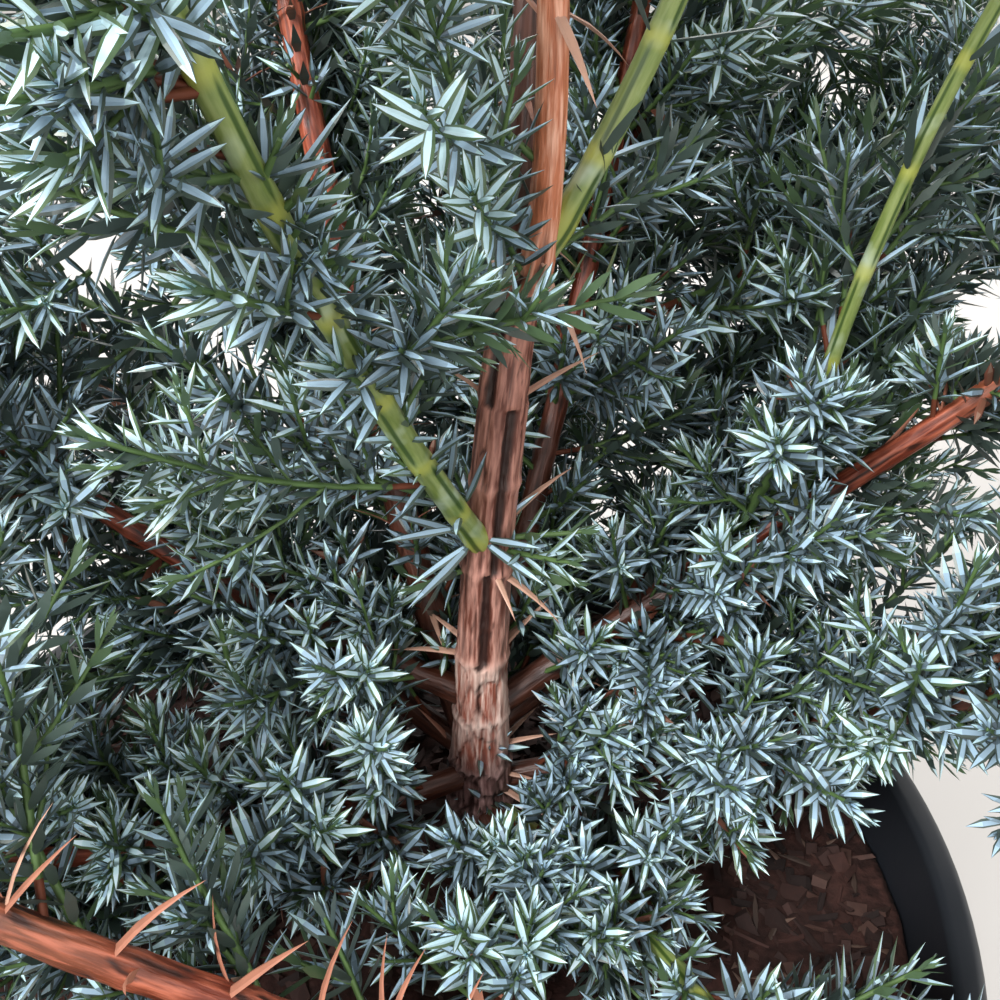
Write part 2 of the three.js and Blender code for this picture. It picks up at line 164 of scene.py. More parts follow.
# Shoots on wood that is otherwise bare, by limb: fraction of its length, heading, rise, length and how far
# they turn to the light. A single one carries no twigs
SINGLE = "single"
SPRIGS = [
    ("leader_left", [
        (0.22, 52, 34, 30, 0.6), (0.25, 130, 40, 30, 0.4), (0.3, 9, 8, 30, 0.05),
        (0.3, -46, 56, 25, 0.0), (0.33, -6, 50, 30, 0.5), (0.2, -83, 60, 20, 0.1),
        (0.24, -98, 59, 24, 0.1), (0.26, -112, 41, 19, 0.1), (0.34, -111, 19, 20, 0.2),
        (0.4, -55, 42, 17, 0.2), (0.14, -136, 39, 16, 0.2), (0.36, 20, 46, 30, 0.3),
        (0.36, -47, 56, 19, 0.1), (0.38, -3, 51, 20, 0.2), (0.34, 11, 52, 32, 0.6),
        (0.28, -59, 58, 21, 0.0), (0.34, -65, 52, 17, 0.0), (0.26, -39, 57, 21, 0.1),
        (0.32, -30, 50, 24, 0.1), (0.36, 0, 34, 26, 0.2), (0.4, 60, 20, 22, 0.3),
        (0.5, -142, 17, 14, 0.1), (0.46, -159, 14, 18, 0.1), (0.44, 177, 29, 24, 0.1),
        (0.42, 157, 13, 25, 0.0),
    ]),
    ("bough_front_left_foot", [
        (0.3, -77, 33, 31, 0.1), (0.5, -97, 51, 29, 0.1), (0.7, -128, 61, 26, 0.1),
        (0.5, -72, 66, 22, 0.1),
    ]),
    ("leader_left", [
        (0.42, -21, 34, 20, 0.2), (0.4, 9, 40, 24, 0.2), (0.38, -23, 26, 19, 0.2),
        (0.4, 18, 16, 24, 0.2), (0.3, -9, 39, 15, 0.2), (0.3, 28, 0, 22, 0.1),
        (0.55, -104, -2, 16, 0.2), (0.52, -112, -10, 14, 0.2), (0.5, -119, 2, 18, 0.2),
        (0.48, -60, 36, 15, 0.2), (0.44, -31, 54, 19, 0.2),
    ]),
    ("bough_right_front", [
        (0.1, 69, 64, 18, 0.3), (0.15, 20, 50, 20, 0.3), (0.2, -30, 52, 20, 0.3),
        (0.25, -76, 28, 20, 0.3), (0.3, 8, 55, 20, 0.3), (0.33, -70, 50, 18, 0.3),
        (0.4, 24, 58, 20, 0.3), (0.44, -90, 40, 18, 0.3), (0.5, -9, 63, 18, 0.3),
        (0.52, -120, 12, 16, 0.3), (0.58, 10, 46, 18, 0.3), (0.62, -80, 50, 16, 0.3),
        (0.68, 60, 50, 18, 0.3), (0.12, -100, 40, 18, 0.3),
    ]),
    ("trunk", [(0.02, -59, 20, 36, 0.2), (0.02, -76, 16, 38, 0.2)]),
    ("bough_front_left_foot", [(0.8, 172, 50, 27, 0.2)]),
    ("leader_left", [
        (0.38, 190, 20, 32, 0.3), (0.4, 30, 40, 36, 0.2), (0.44, 60, 56, 34, 0.2),
        (0.46, 150, 30, 34, 0.3), (0.5, 200, 30, 30, 0.3), (0.52, 20, 30, 26, 0.4),
    ]),
    ("trunk", [
        (0.35, 240, 52, 50, 1.6), (0.207, -27, 16, 15, 0.0, SINGLE), (0.2, -20, 4, 13, 0.0, SINGLE),
        (0.212, -8, 16, 14, 0.0, SINGLE), (0.198, 196, -6, 11, 0.0, SINGLE), (0.3, 160, 20, 18, 0.5),
        (0.33, 200, 30, 34, 0.4), (0.4, 190, 40, 30, 0.4), (0.36, 20, 30, 24, 0.4),
        (0.05, 120, 24, 26, 0.5), (0.08, 60, 20, 26, 0.5),
    ]),
    ("bough_right", [
        (0.1, 80, 30, 26, 0.5), (0.16, 10, 20, 24, 0.5), (0.3, 40, 50, 28, 0.5),
        (0.36, 10, 72, 33, 0.0, SINGLE), (0.4, 2, -4, 31, 0.2), (0.45, -11, 3, 28, 0.2),
    ]),
    ("bough_back_right", [
        (0.45, 56, -4, 40, 0.3), (0.55, 50, -10, 42, 0.3), (0.5, 40, 5, 40, 0.3), (0.4, 56, 0, 42, 0.3),
        (0.65, 49, -15, 42, 0.3), (0.58, 62, -12, 44, 0.3),
    ]),
    ("leader_far_right", [(0.1, 41, 22, 42, 0.1), (0.08, 55, 12, 40, 0.2)]),
    ("bough_left_low", [(0.4, 131, 4, 52, 0.1), (0.5, 123, 0, 45, 0.1)]),
    ("bough_front", [(0.5, -24, 59, 34, 0.0), (0.56, -10, 62, 28, 0.1)]),
    ("bough_right", [(0.36, -60, 20, 22, 0.6), (0.5, 70, 30, 30, 0.4)]),
    ("bough_back_right", [
        (0.12, 120, 24, 28, 0.5), (0.2, 20, 30, 32, 0.5), (0.28, 100, 40, 32, 0.5),
        (0.3, -40, 30, 30, 0.5),
    ]),
    ("stem_left", [
        (0.1, 60, 20, 28, 0.5), (0.16, 200, 24, 30, 0.5), (0.24, 90, 34, 32, 0.5),
        (0.34, 20, 30, 30, 0.5), (0.4, 160, 8, 58, 0.6, SINGLE), (0.5, 60, 30, 30, 0.4),
    ]),
    ("bough_left", [(0.1, 120, 44, 26, 0.5), (0.18, 220, 36, 28, 0.5)]),
    ("bough_left_low", [(0.28, 100, 86, 38, 0.0, SINGLE), (0.16, 80, 50, 30, 0.3)]),
    ("bough_back", [(0.12, 150, 44, 30, 0.5), (0.18, 40, 40, 30, 0.5)]),
    ("bough_back_left", [(0.12, 100, 44, 28, 0.5), (0.16, 190, 40, 26, 0.5)]),
    ("bough_right_back", [(0.12, 90, 44, 28, 0.5), (0.2, -20, 36, 28, 0.5)]),
    ("bough_front_left", [(0.2, 120, 40, 28, 0.5), (0.36, 130, 46, 32, 0.5), (0.5, 140, 40, 32, 0.5)]),
    ("stem_left", [(0.46, 200, 30, 34, 0.4)]),
]

# Limbs whose sprigs stand close to the reference view
NEAR_LIMBS = ("leader_left", "bough_front_left_foot", "trunk")

# Wood that the reference view does not show: its twigs stand close, from one fraction to another
LEAFY_WOOD = {
    "bough_right": (0.06, 0.46), "bough_left": (0.06, 0.34), "bough_left_low": (0.08, 0.5),
    "bough_back": (0.08, 0.34), "bough_back_left": (0.08, 0.3), "bough_right_back": (0.08, 0.34),
    "bough_right_front": (0.08, 0.75), "bough_back_right": (0.05, 0.6), "stem_left": (0.05, 0.38),
    "bough_front": (0.08, 0.3), "bough_front_left_foot": (0.2, 0.9), "stem_dark": (0.3, 0.6),
}

# Room between the masses that shoots from the nearest wood fill: middle, half widths, number of shoots
FILL_ZONES = {
    "fill_front_left": ((-42, -14, 146), (58, 44, 26), 62),
    "fill_front_right": ((62, 0, 142), (54, 44, 22), 38),
    "fill_back_left": ((-40, 62, 160), (56, 44, 30), 30),
    "fill_back_right": ((58, 62, 160), (56, 44, 30), 30),
    "fill_left_wall": ((-62, 20, 190), (46, 48, 38), 44),
    "fill_right_wall": ((84, 34, 196), (42, 50, 34), 32),
    "fill_gap": ((60, 106, 206), (18, 16, 24), 18),
    "fill_front_low": ((-34, -50, 138), (34, 22, 16), 12),
    "fill_behind": ((14, 76, 226), (62, 38, 44), 34),
    "fill_high_right": ((74, 84, 214), (54, 44, 44), 60),
    "fill_middle": ((-4, 66, 206), (44, 34, 30), 42),
}
FAR_ZONES = ("fill_behind", "fill_high_right", "fill_gap")

# Where the reference view is taken from, and how far it looks down
EYE = (14.5, -97, 264)
EYE_TILT = 35

# The camera's lens is as long as its sensor is wide, and it shows what is further away than this
SENSOR = 36
NEAREST_SEEN = 3 * MM

# Floor, sky and lamps, in metres and watts. A lamp has a place, a size and a power
FLOOR_HALF = 3.0
FLOOR_COLOUR = (0.46, 0.44, 0.42)
SKY_COLOUR = (1.0, 0.99, 0.98, 1)
SKY_STRENGTH = 1.15
PLANT_MIDDLE = (0, 0, 0.22)
LAMPS = [
    ("key", (-0.6, -0.7, 1.1), 0.5, 24.0),
    ("fill", (0.9, -0.6, 0.7), 1.0, 3.0),
    ("back", (0.1, 1.1, 0.9), 0.9, 16.0),
]

# Wood that this view sees free of foliage: limb, from, to, clear width to either side in millimetres
CLEAR_WOOD = [
    ("trunk", 0.02, 0.26, 7), ("trunk", 0.26, 0.305, 4), ("trunk", 0.36, 0.47, 3),
    ("leader_left", 0.42, 0.52, 3), ("leader_left", 0.0, 0.2, 5),
    ("leader_right", 0.08, 0.24, 3.5), ("leader_far_right", 0.2, 0.6, 3), ("bough_right", 0.5, 0.76, 4),
    ("stem_left", 0.4, 0.66, 5), ("bough_front_left", 0.08, 0.62, 7),
]

# Openings in the crown that this view sees the ground through: across, down and radius in thousandths of
# the view's width
CLEAR_GROUND = [
    (60, 262, 22), (100, 270, 34), (150, 292, 32), (195, 315, 22), (985, 310, 34),
    (990, 775, 34), (1000, 870, 34), (908, 790, 46), (938, 850, 48),
    (780, 930, 62), (850, 905, 40), (720, 890, 26), (820, 975, 36), (700, 970, 30),
]

# Pieces of needles: how far apart their shoots stand, how finely each needle is made, and the masses
NEEDLE_PIECES = {
    "needles_right": (0.8, "middle", ("spray_right_low", "spray_right_mid", "spray_right_up")),
    "needles_right_front": (0.8, "middle", ("spray_right_front", "spray_front")),
    "needles_left": (0.8, "middle", ("spray_left", "spray_left_low")),
    "needles_leader_left": (0.8, "close", ("spray_stem_left_front", "spray_leader_left",
                                           "tuft_leader_left")),
    "needles_back": (0.8, "middle", ("spray_back", "spray_back_left", "spray_right_back")),
    "needles_back_right": (1.0, "middle", ("spray_back_right_low", "spray_back_right_high")),
    "needles_far_right": (1.0, "middle", ("tuft_right_front", "tuft_far_right", "tuft_right")),
    "needles_stem_left": (1.0, "middle", ("spray_stem_left_out", "spray_stem_left_back",
                                          "tuft_leader_right")),
    "needles_outer_front": (1.5, "far", ("tuft_front", "tuft_front_left", "tuft_left_low")),
    "needles_outer_left": (1.5, "far", ("tuft_left", "tuft_back_left", "tuft_stem_left", "tuft_dark")),
    "needles_outer_back": (1.5, "far", ("tuft_back", "tuft_right_back", "tuft_back_right")),
    "needles_top": (1.5, "far", ("tuft_high_right", "tuft_high_left", "tuft_high_back",
                                 "spray_high_front", "spray_high_rear", "crown_top")),
}

# How often a shoot is old, full-grown and fresh, for the pieces that differ from the rest. This is also
# painted light: pieces in front and on the right are mostly old and darker, as painted shade, and those at
# the back, high up and round the leaders are mostly fresh and lighter, as painted light
MOSTLY_OLD_IN_PAINTED_SHADE = (0.42, 0.52, 0.06)
MOSTLY_FRESH_IN_PAINTED_LIGHT = (0.0, 0.4, 0.6)
MIXED = (0.2, 0.62, 0.18)
AGES_AND_PAINTED_LIGHT = {
    "needles_right": MOSTLY_OLD_IN_PAINTED_SHADE, "needles_right_front": MOSTLY_OLD_IN_PAINTED_SHADE, "needles_far_right": MOSTLY_OLD_IN_PAINTED_SHADE,
    "fill_front_right": MOSTLY_OLD_IN_PAINTED_SHADE, "needles_outer_front": MOSTLY_OLD_IN_PAINTED_SHADE, "needles_near_sprigs": MOSTLY_FRESH_IN_PAINTED_LIGHT,
    "needles_back_right": MOSTLY_FRESH_IN_PAINTED_LIGHT, "needles_back": MOSTLY_FRESH_IN_PAINTED_LIGHT, "needles_stem_left": MOSTLY_FRESH_IN_PAINTED_LIGHT,
    "needles_leader_left": MOSTLY_FRESH_IN_PAINTED_LIGHT, "fill_high_right": MOSTLY_FRESH_IN_PAINTED_LIGHT, "fill_gap": MOSTLY_FRESH_IN_PAINTED_LIGHT,
    "fill_middle": MOSTLY_FRESH_IN_PAINTED_LIGHT, "fill_back_right": MOSTLY_FRESH_IN_PAINTED_LIGHT, "needles_outer_back": MOSTLY_FRESH_IN_PAINTED_LIGHT,
}

# Parts of a needle, and the ages that give it its colours
BAND, GREEN, TIP, SHADED = range(4)
OLD, GROWN, FRESH, DRY = range(4)

# Rings of a needle from base to tip, as fractions of its length and of its width, by how fine it is made
NEEDLE_RINGS = {
    "close": [(0.18, 0.72), (0.5, 1.0), (0.78, 0.68)],
    "middle": [(0.28, 0.86), (0.66, 0.98)],
    "far": [(0.5, 1.0)],
    "leader": [(0.1, 0.7), (0.4, 1.0), (0.76, 0.66)],
    "dry": [(0.0, 0.95), (0.3, 0.9), (0.55, 0.62), (0.8, 0.3)],
}
# A ring's points as depth and side, in half widths, and the ridge between the bands of the nearest needles
NEEDLE_BLADE = [(0.0, -1.0), (-0.3, -0.54), (-0.3, 0.54), (0.0, 1.0)]
NEEDLE_RIDGE = (-0.1, 0.0)
DRY_SHEATH = -0.1

# How needles stand on a shoot. They are smaller and closed at its tip, and droop towards its foot
ROLL_JITTER = 0.12
LEAN_JITTER = 0.1
SIZE_JITTER = (0.88, 1.08)
MISSING_SHARE = 0.04
OPENING = (0.0, 5 * MM, 0.22, 1.0)
DROOP = (8 * MM, 50 * MM, 0.0, 0.16)
TIP_SIZES = (0.0, 4 * MM, 0.42, 1.0)

# Growth rule: turn from one side shoot to the next, thickness of each kind of shoot from foot to tip, their
# longest and shortest lengths, how close whorls are at a tip in shares of the full gap and how fast they
# spread, how much a shoot sways, and how many are dry at the foot and how far up
GOLDEN_TURN = 2.4
SPINE_THICK = (1.1 * MM, 0.5 * MM)
SINGLE_THICK = (0.55 * MM, 0.36 * MM)
SIDE_THICK = (0.5 * MM, 0.3 * MM)
TWIG_THICK = (0.32 * MM, 0.24 * MM)
LONGEST_SIDE_SHOOT = 58 * MM
LONGEST_TWIG = 22 * MM
SHORTEST_SHOOT = 5 * MM
BARE_TIP = 4 * MM
TIP_GAP = 0.5
TIP_GAP_GROWTH = 0.17
SWAY = 0.12
FEWEST_WHORLS = 4
DRY_SHOOTS = 0.07
DRY_FOOT = 0.12

# Shoots that start on wood are bare at their foot, more so low down in the crown. That of a single one is
# in millimetres, like its length in SPRIGS
LOW_WOOD = (COMPOST_TOP + 30) * MM
BARE_FOOT_LOW = 8.0 * MM
BARE_FOOT = 5.5 * MM
SINGLE_BARE_FOOT = 4

# Free space round the reference view, how near its foot a shoot isn't cut short, how far before wood a point
# starts to hide it, and how far from the eye openings start
NEAREST_LEAF = 36 * MM
UNTRIMMED = 6 * MM
BEFORE_WOOD = 2 * MM
GROUND_DEPTH = 10 * MM

# Where fill shoots start: how far from their tip at most and at least, how near wood no shoot is needed,
# their best slant to the wood in degrees and what another one costs, how closely wood is searched, and how
# low they reach
FILL_REACH = 62 * MM
FILL_NEAREST = 16 * MM
FILL_CLEAR = 10 * MM
BEST_SLANT = 52
SLANT_COST = 30
WOOD_STEP = 4 * MM
FILL_FLOOR = (COMPOST_TOP + 9) * MM


class Route:
    """A line through points, measured by its length and running straight on past either end."""

    def __init__(self, points):
        self.points = points
        self.marks = [0.0]
        for a, b in zip(points, points[1:]):
            self.marks.append(self.marks[-1] + (b - a).length)
        self.length = self.marks[-1]

    def _place(self, s):
        distance = s * self.length
        i = bisect.bisect_right(self.marks, distance) - 1
        i = min(max(i, 0), len(self.points) - 2)
        share = (distance - self.marks[i]) / (self.marks[i + 1] - self.marks[i])
        return i, share

    def at(self, s):
        """The point at a fraction of the length."""
        i, share = self._place(s)
        return self.points[i].lerp(self.points[i + 1], share)

    def way(self, s):
        """The direction at a fraction of the length."""
        i, share = self._place(s)
        here = self.points[i + 1] - self.points[i]
        j = min(max(i + (1 if share > 0.5 else -1), 0), len(self.points) - 2)
        beside = self.points[j + 1] - self.points[j]
        return here.normalized().lerp(beside.normalized(), abs(share - 0.5)).normalized()


def direction(heading, rise):
    """A unit direction from a heading in plan and a rise above the level."""
    h, r = math.radians(heading), math.radians(rise)
    return Vector((math.cos(r) * math.cos(h), math.cos(r) * math.sin(h), math.sin(r)))


def turning_route(foot, headings, rises, length, steps=24):
    """A route from a foot whose heading and rise turn evenly along its length."""
    points = [foot.copy()]
    for i in range(steps):
        s = (i + 0.5) / steps
        heading = headings[0] + (headings[1] - headings[0]) * s
        rise = rises[0] + (rises[1] - rises[0]) * s
        points.append(points[-1] + direction(heading, rise) * (length * MM / steps))
    return Route(points)


def smooth_route(points, steps=12):
    """A route on a smooth curve through the points."""
    ends = [2 * points[0] - points[1], *points, 2 * points[-1] - points[-2]]
    line = []
    for a, b, c, d in zip(ends, ends[1:], ends[2:], ends[3:]):
        for i in range(steps):
            t = i / steps
            line.append(0.5 * (2 * b + (c - a) * t + (2 * a - 5 * b + 4 * c - d) * t * t
                               + (3 * b - a - 3 * c + d) * t ** 3))
    return Route([*line, points[-1]])


def limb_routes():
    """The routes of the trunk and of every limb, by name."""
    foot = Vector(TRUNK_FOOT) * MM
    routes = {"trunk": smooth_route([foot + Vector(p) * MM for p in TRUNK_SWAY])}
    for name, (parent, at, headings, rises, length, _) in LIMBS.items():
        routes[name] = turning_route(routes[parent].at(at), headings, rises, length)
    return routes


ROUTES = limb_routes()


def trunk_radius(s):
    """The trunk's radius at a fraction of its length, with its flare at the foot."""
    held = max(0.0, min(1.0, s))
    thick = TRUNK_THICK[-1][1]
    for (low, near), (high, far) in zip(TRUNK_THICK, TRUNK_THICK[1:]):
        if held <= high:
            thick = near + (far - near) * (held - low) / (high - low)
            break
    return thick / 2 * MM * (1 + (ROOT_FLARE - 1) * math.exp(-s / FLARE_SHARE))


def limb_radius(name):
    """A function that gives a limb's radius, in metres, at a fraction of its length."""
    foot, tip = LIMBS[name][5]
    return lambda s: (foot + (tip - foot) * min(s, 1)) / 2 * MM


def length_setting(name, description, millimetres):
    """A setting that is a length."""
    return FloatProperty(name=name, description=description, default=millimetres * MM, unit="LENGTH")


def colour_setting(name, description, colour):
    """A setting that is a colour."""
    return FloatVectorProperty(name=name, description=description, default=colour, subtype="COLOR")


class PlantSettings(PropertyGroup):
    """Sizes of the shoots and needles."""

    seed: IntProperty(name="Seed", description="Chooses one growth of the plant", default=7)
    needle_length: length_setting("Needle length", "Length of a full-grown needle on a side shoot", 7.0)
    leader_needle_length: length_setting(
        "Leader needle length", "Length of the needles that stand on green wood", 11.5)
    needle_width: length_setting("Needle width", "Width of a needle at its belly", 1.36)
    whorl_gap: length_setting("Whorl gap", "Distance between whorls of three needles", 2.2)
    needle_spread: FloatProperty(
        name="Needle spread", description="Angle between a full-grown needle and its shoot",
        default=math.radians(53), subtype="ANGLE")
    shoot_gap: length_setting("Shoot gap", "Distance between side shoots along an axis", 5.3)
    twig_gap: length_setting("Twig gap", "Distance between twigs along a side shoot", 5.5)
    light: FloatVectorProperty(
        name="Light", description="Direction towards which the shoots turn", default=(0.0, -0.22, 0.95),
        subtype="DIRECTION")


class FinishSettings(PropertyGroup):
    """Colours of the plant and the pot."""

    bloom: colour_setting("Bloom", "Waxy blue-white bands on a needle's upper side", (0.42, 0.6, 0.75))
    leaf: colour_setting("Leaf green", "Green underside of a needle", (0.058, 0.086, 0.072))
    fresh: colour_setting("Fresh shoot", "Yellow-green axis of a young shoot", (0.17, 0.3, 0.09))
    bark: colour_setting("Bark", "Red-brown bark of the boughs", (0.42, 0.105, 0.042))
    dead: colour_setting("Dead needle", "Dry needles left on the wood", (0.62, 0.36, 0.26))
    compost: colour_setting("Compost", "Moist bark compost", (0.022, 0.009, 0.007))
    plastic: colour_setting("Plastic", "Black plastic of the pot", (0.012, 0.014, 0.018))


class Net:
    """Adds nodes to a tree and links them, so that a material or a modifier reads as steps."""

    def __init__(self, tree):
        self.tree = tree

    def add(self, kind, inputs=None, **options):
        """Adds a node with its options and inputs. An input is a socket to link or a value."""
        node = self.tree.nodes.new(kind)
        for key, value in options.items():
            setattr(node, key, value)
        self.fill(node.inputs, inputs or {})
        return node

    def fill(self, sockets, values):
        """Links or sets sockets by their keys."""
        for key, value in values.items():
            if isinstance(value, NodeSocket):
                self.tree.links.new(value, sockets[key])
            else:
                sockets[key].default_value = value

    def maths(self, operation, *values):
        """One step of arithmetic."""
        return self.add("ShaderNodeMath", dict(enumerate(values)), operation=operation).outputs[0]

    def ramp(self, value, low, high, to_low, to_high, kind="LINEAR"):
        """A value moved from one range to another, and held inside it."""
        inputs = {"Value": value, "From Min": low, "From Max": high, "To Min": to_low, "To Max": to_high}
        return self.add("ShaderNodeMapRange", inputs, interpolation_type=kind).outputs["Result"]

    def named(self, name, kind="FLOAT"):
        """A stored attribute of the geometry."""
        node = self.add("GeometryNodeInputNamedAttribute", {"Name": name}, data_type=kind)
        return node.outputs["Attribute"]

    def store(self, geometry, name, value, kind="FLOAT", domain="POINT"):
        """The geometry with an attribute added."""
        inputs = {"Geometry": geometry, "Name": name, "Value": value}
        node = self.add("GeometryNodeStoreNamedAttribute", inputs, data_type=kind, domain=domain)
        return node.outputs["Geometry"]

    def chance(self, low, high, seed):
        """A random number for each element."""
        node = self.tree.nodes.new("FunctionNodeRandomValue")
        by_key = {socket.identifier: socket for socket in node.inputs}
        self.fill(by_key, {"Min_001": low, "Max_001": high, "Seed": seed})
        return node.outputs[1]

    def worn(self, geometry, material, chosen=True):
        """The geometry with a material on the chosen faces."""
        inputs = {"Geometry": geometry, "Selection": chosen, "Material": material}
        return self.add("GeometryNodeSetMaterial", inputs).outputs["Geometry"]

    def real(self, geometry):
        """The geometry with its instances made real."""
        return self.add("GeometryNodeRealizeInstances", {"Geometry": geometry}).outputs["Geometry"]

    def turned(self, rotation, axis, angle):
        """A rotation turned further about one of its own axes."""
        by = self.add("FunctionNodeAxisAngleToRotation", {"Axis": axis, "Angle": angle})
        inputs = {"Rotation": rotation, "Rotate By": by.outputs["Rotation"]}
        return self.add("FunctionNodeRotateRotation", inputs, rotation_space="LOCAL").outputs["Rotation"]

    def either(self, points, shapes, pick, rotation, size, selection=True):
        """Copies of one of two shapes on each point. The shapes are sockets that hold an object."""
        both = self.add("GeometryNodeJoinGeometry")
        for shape in shapes:
            inputs = {"Object": shape, "As Instance": True}
            made = self.add("GeometryNodeObjectInfo", inputs).outputs["Geometry"]
            self.tree.links.new(made, both.inputs["Geometry"])
        return self.add("GeometryNodeInstanceOnPoints", {
            "Points": points, "Selection": selection, "Instance": both.outputs["Geometry"],
            "Pick Instance": True, "Instance Index": self.maths("ROUND", pick), "Rotation": rotation,
            "Scale": size,
        }).outputs["Instances"]


def new_geometry_tree(name, inputs):
    """An empty modifier tree with named inputs. Returns its net, its input sockets and its output."""
    tree = bpy.data.node_groups.new(name, "GeometryNodeTree")
    tree.interface.new_socket("Geometry", in_out="INPUT", socket_type="NodeSocketGeometry")
    for label, kind in inputs.items():
        tree.interface.new_socket(label, in_out="INPUT", socket_type="NodeSocket" + kind)
    tree.interface.new_socket("Geometry", in_out="OUTPUT", socket_type="NodeSocketGeometry")
    net = Net(tree)
    given = net.add("NodeGroupInput").outputs
    leave = net.add("NodeGroupOutput").inputs["Geometry"]
    return net, given, leave


def run_tree(source, tree, values, name):
    """Runs a modifier tree on a helper object and returns the result as a plain mesh object."""
    modifier = source.modifiers.new(tree.name, "NODES")
    modifier.node_group = tree
    keys = {item.name: item.identifier for item in tree.interface.items_tree if item.in_out == "INPUT"}
    for label, value in values.items():
        modifier[keys[label]] = value
    graph = bpy.context.evaluated_depsgraph_get()
    mesh = bpy.data.meshes.new_from_object(source.evaluated_get(graph), depsgraph=graph)
    mesh.name = name
    drop_empty_slots(mesh)
    source.modifiers.remove(modifier)
    bpy.data.objects.remove(source)
    return new_object(name, mesh)


def drop_empty_slots(mesh):
    """Takes out the material slots that hold nothing."""
    kept = [index for index, material in enumerate(mesh.materials) if material is not None]
    if len(kept) == len(mesh.materials):
        return
    materials = [mesh.materials[index] for index in kept]
    places = {index: place for place, index in enumerate(kept)}
    worn = [0] * len(mesh.polygons)
    mesh.polygons.foreach_get("material_index", worn)
    mesh.materials.clear()
    for material in materials:
        mesh.materials.append(material)
    mesh.polygons.foreach_set("material_index", [places.get(index, 0) for index in worn])


def new_object(name, mesh):
    """A mesh as an object of the scene."""
    made = bpy.data.objects.new(name, mesh)
    bpy.context.scene.collection.objects.link(made)
    return made


def store_vectors(mesh, name, vectors):
    """Stores a vector on each point of a mesh."""
    flat = [number for vector in vectors for number in vector]
    mesh.attributes.new(name, "FLOAT_VECTOR", "POINT").data.foreach_set("vector", flat)


def store_numbers(mesh, name, numbers):
    """Stores a number on each point of a mesh."""
    mesh.attributes.new(name, "FLOAT", "POINT").data.foreach_set("value", numbers)


def shade_smooth(mesh):
    """Shades all faces of a mesh smooth."""
    mesh.polygons.foreach_set("use_smooth", [True] * len(mesh.polygons))


def shape_mesh(shape, name):
    """A finished shape as a mesh with its faces outward."""
    bmesh.ops.recalc_face_normals(shape, faces=shape.faces)
    mesh = bpy.data.meshes.new(name)
    shape.to_mesh(mesh)
    shape.free()
    return mesh


def hand_over(piece, slot, *nodes):
    """Gives a finished piece its body and hides the nodes it stands for. Its slot is not used."""
    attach(piece, "root")
    if nodes:
        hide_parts(*nodes)


def new_material(name, roughness, specular=0.5):
    """A material with one surface shader. Returns the material, its net and the shader."""
    material = bpy.data.materials.new(name)
    material.use_nodes = True
    shader = material.node_tree.nodes["Principled BSDF"]
    shader.inputs["Roughness"].default_value = roughness
    shader.inputs["Specular IOR Level"].default_value = specular
    return material, Net(material.node_tree), shader


def blended(net, factor, first, second):
    """A colour between two, by a factor."""
    node = net.tree.nodes.new("ShaderNodeMix")
    node.data_type = "RGBA"
    net.fill(node.inputs, {0: factor, 6: first, 7: second})
    return node.outputs[2]


def rough_surface(net, shader, tone, strength, distance, height):
    """Links a colour to a shader, and a bump that is some millimetres high."""
    inputs = {"Strength": strength, "Distance": distance * MM, "Height": height}
    bump = net.add("ShaderNodeBump", inputs)
    net.tree.links.new(tone, shader.inputs["Base Color"])
    net.tree.links.new(bump.outputs["Normal"], shader.inputs["Normal"])


def shade(colour, factor):
    """A colour made lighter or darker, with its opacity."""
    return (*(min(c * factor, 1) for c in colour[:3]), 1)


def object_noise(net, scale, detail=2.0, stretch=(1, 1, 1)):
    """Noise in the object's own space."""
    place = net.add("ShaderNodeTexCoord").outputs["Object"]
    place = net.add("ShaderNodeMapping", {"Vector": place, "Scale": stretch}).outputs["Vector"]
    return noise_at(net, place, scale, detail)


def noise_at(net, place, scale, detail):
    """Noise over a place that is a socket."""
    return net.add("ShaderNodeTexNoise", {"Vector": place, "Scale": scale, "Detail": detail}).outputs["Fac"]


def mottled_material(name, colour, roughness, spread=0.16, scale=260.0, specular=0.4):
    """A matt surface whose colour drifts a little from place to place."""
    material, net, shader = new_material(name, roughness, specular)
    drift = object_noise(net, scale)
    tone = blended(net, drift, shade(colour, 1 - spread), shade(colour, 1 + spread))
    net.tree.links.new(tone, shader.inputs["Base Color"])
    return material


def leaf_materials(finish):
    """Plain colours for each part of a needle, by age: old, full-grown, fresh and dry. Old colours are
    darker and fresh ones lighter, partly for age and partly as painted shade and light.
    """
    bloom, leaf, dead = Vector(finish.bloom), Vector(finish.leaf), Vector(finish.dead)
    fresh_leaf = leaf * Vector((1.3, 1.5, 0.85))
    dry_band, dry_leaf = dead * Vector((0.34, 0.24, 0.2)), dead * Vector((0.3, 0.18, 0.15))
    # Old and fresh tones are darker and lighter copies of one colour, partly for age and partly as painted
    # shade and painted light. The shaded part at a needle's base is painted shade, and the pale tip is
    # partly its own colour and partly painted light.
    looks = {
        "band": ((bloom * 0.6, bloom, bloom * 1.35, dry_band), (0.36, 0.34, 0.34), 0.6),
        "green": ((leaf * 0.8, leaf * 1.15, fresh_leaf, dry_leaf), (0.34, 0.32, 0.32), 0.6),
        "tip": ((bloom * 0.85, bloom * 1.3, bloom * 1.55, dead * 0.5), (0.4, 0.4, 0.4), 0.5),
        "shaded": ((bloom * 0.22, bloom * 0.34, bloom * 0.5, dead * 0.2), (0.36, 0.34, 0.34), 0.6),
    }
    made = []
    for part, (colours, roughness, specular) in looks.items():
        name = "needle_" + part
        made.append([mottled_material(f"{name}_{age}", colour, rough, 0.3, 90.0, specular)
                     for age, colour, rough in zip(("old", "grown", "fresh"), colours, roughness)])
        made[-1].append(mottled_material(name + "_dry", colours[DRY], 0.6))
    return made


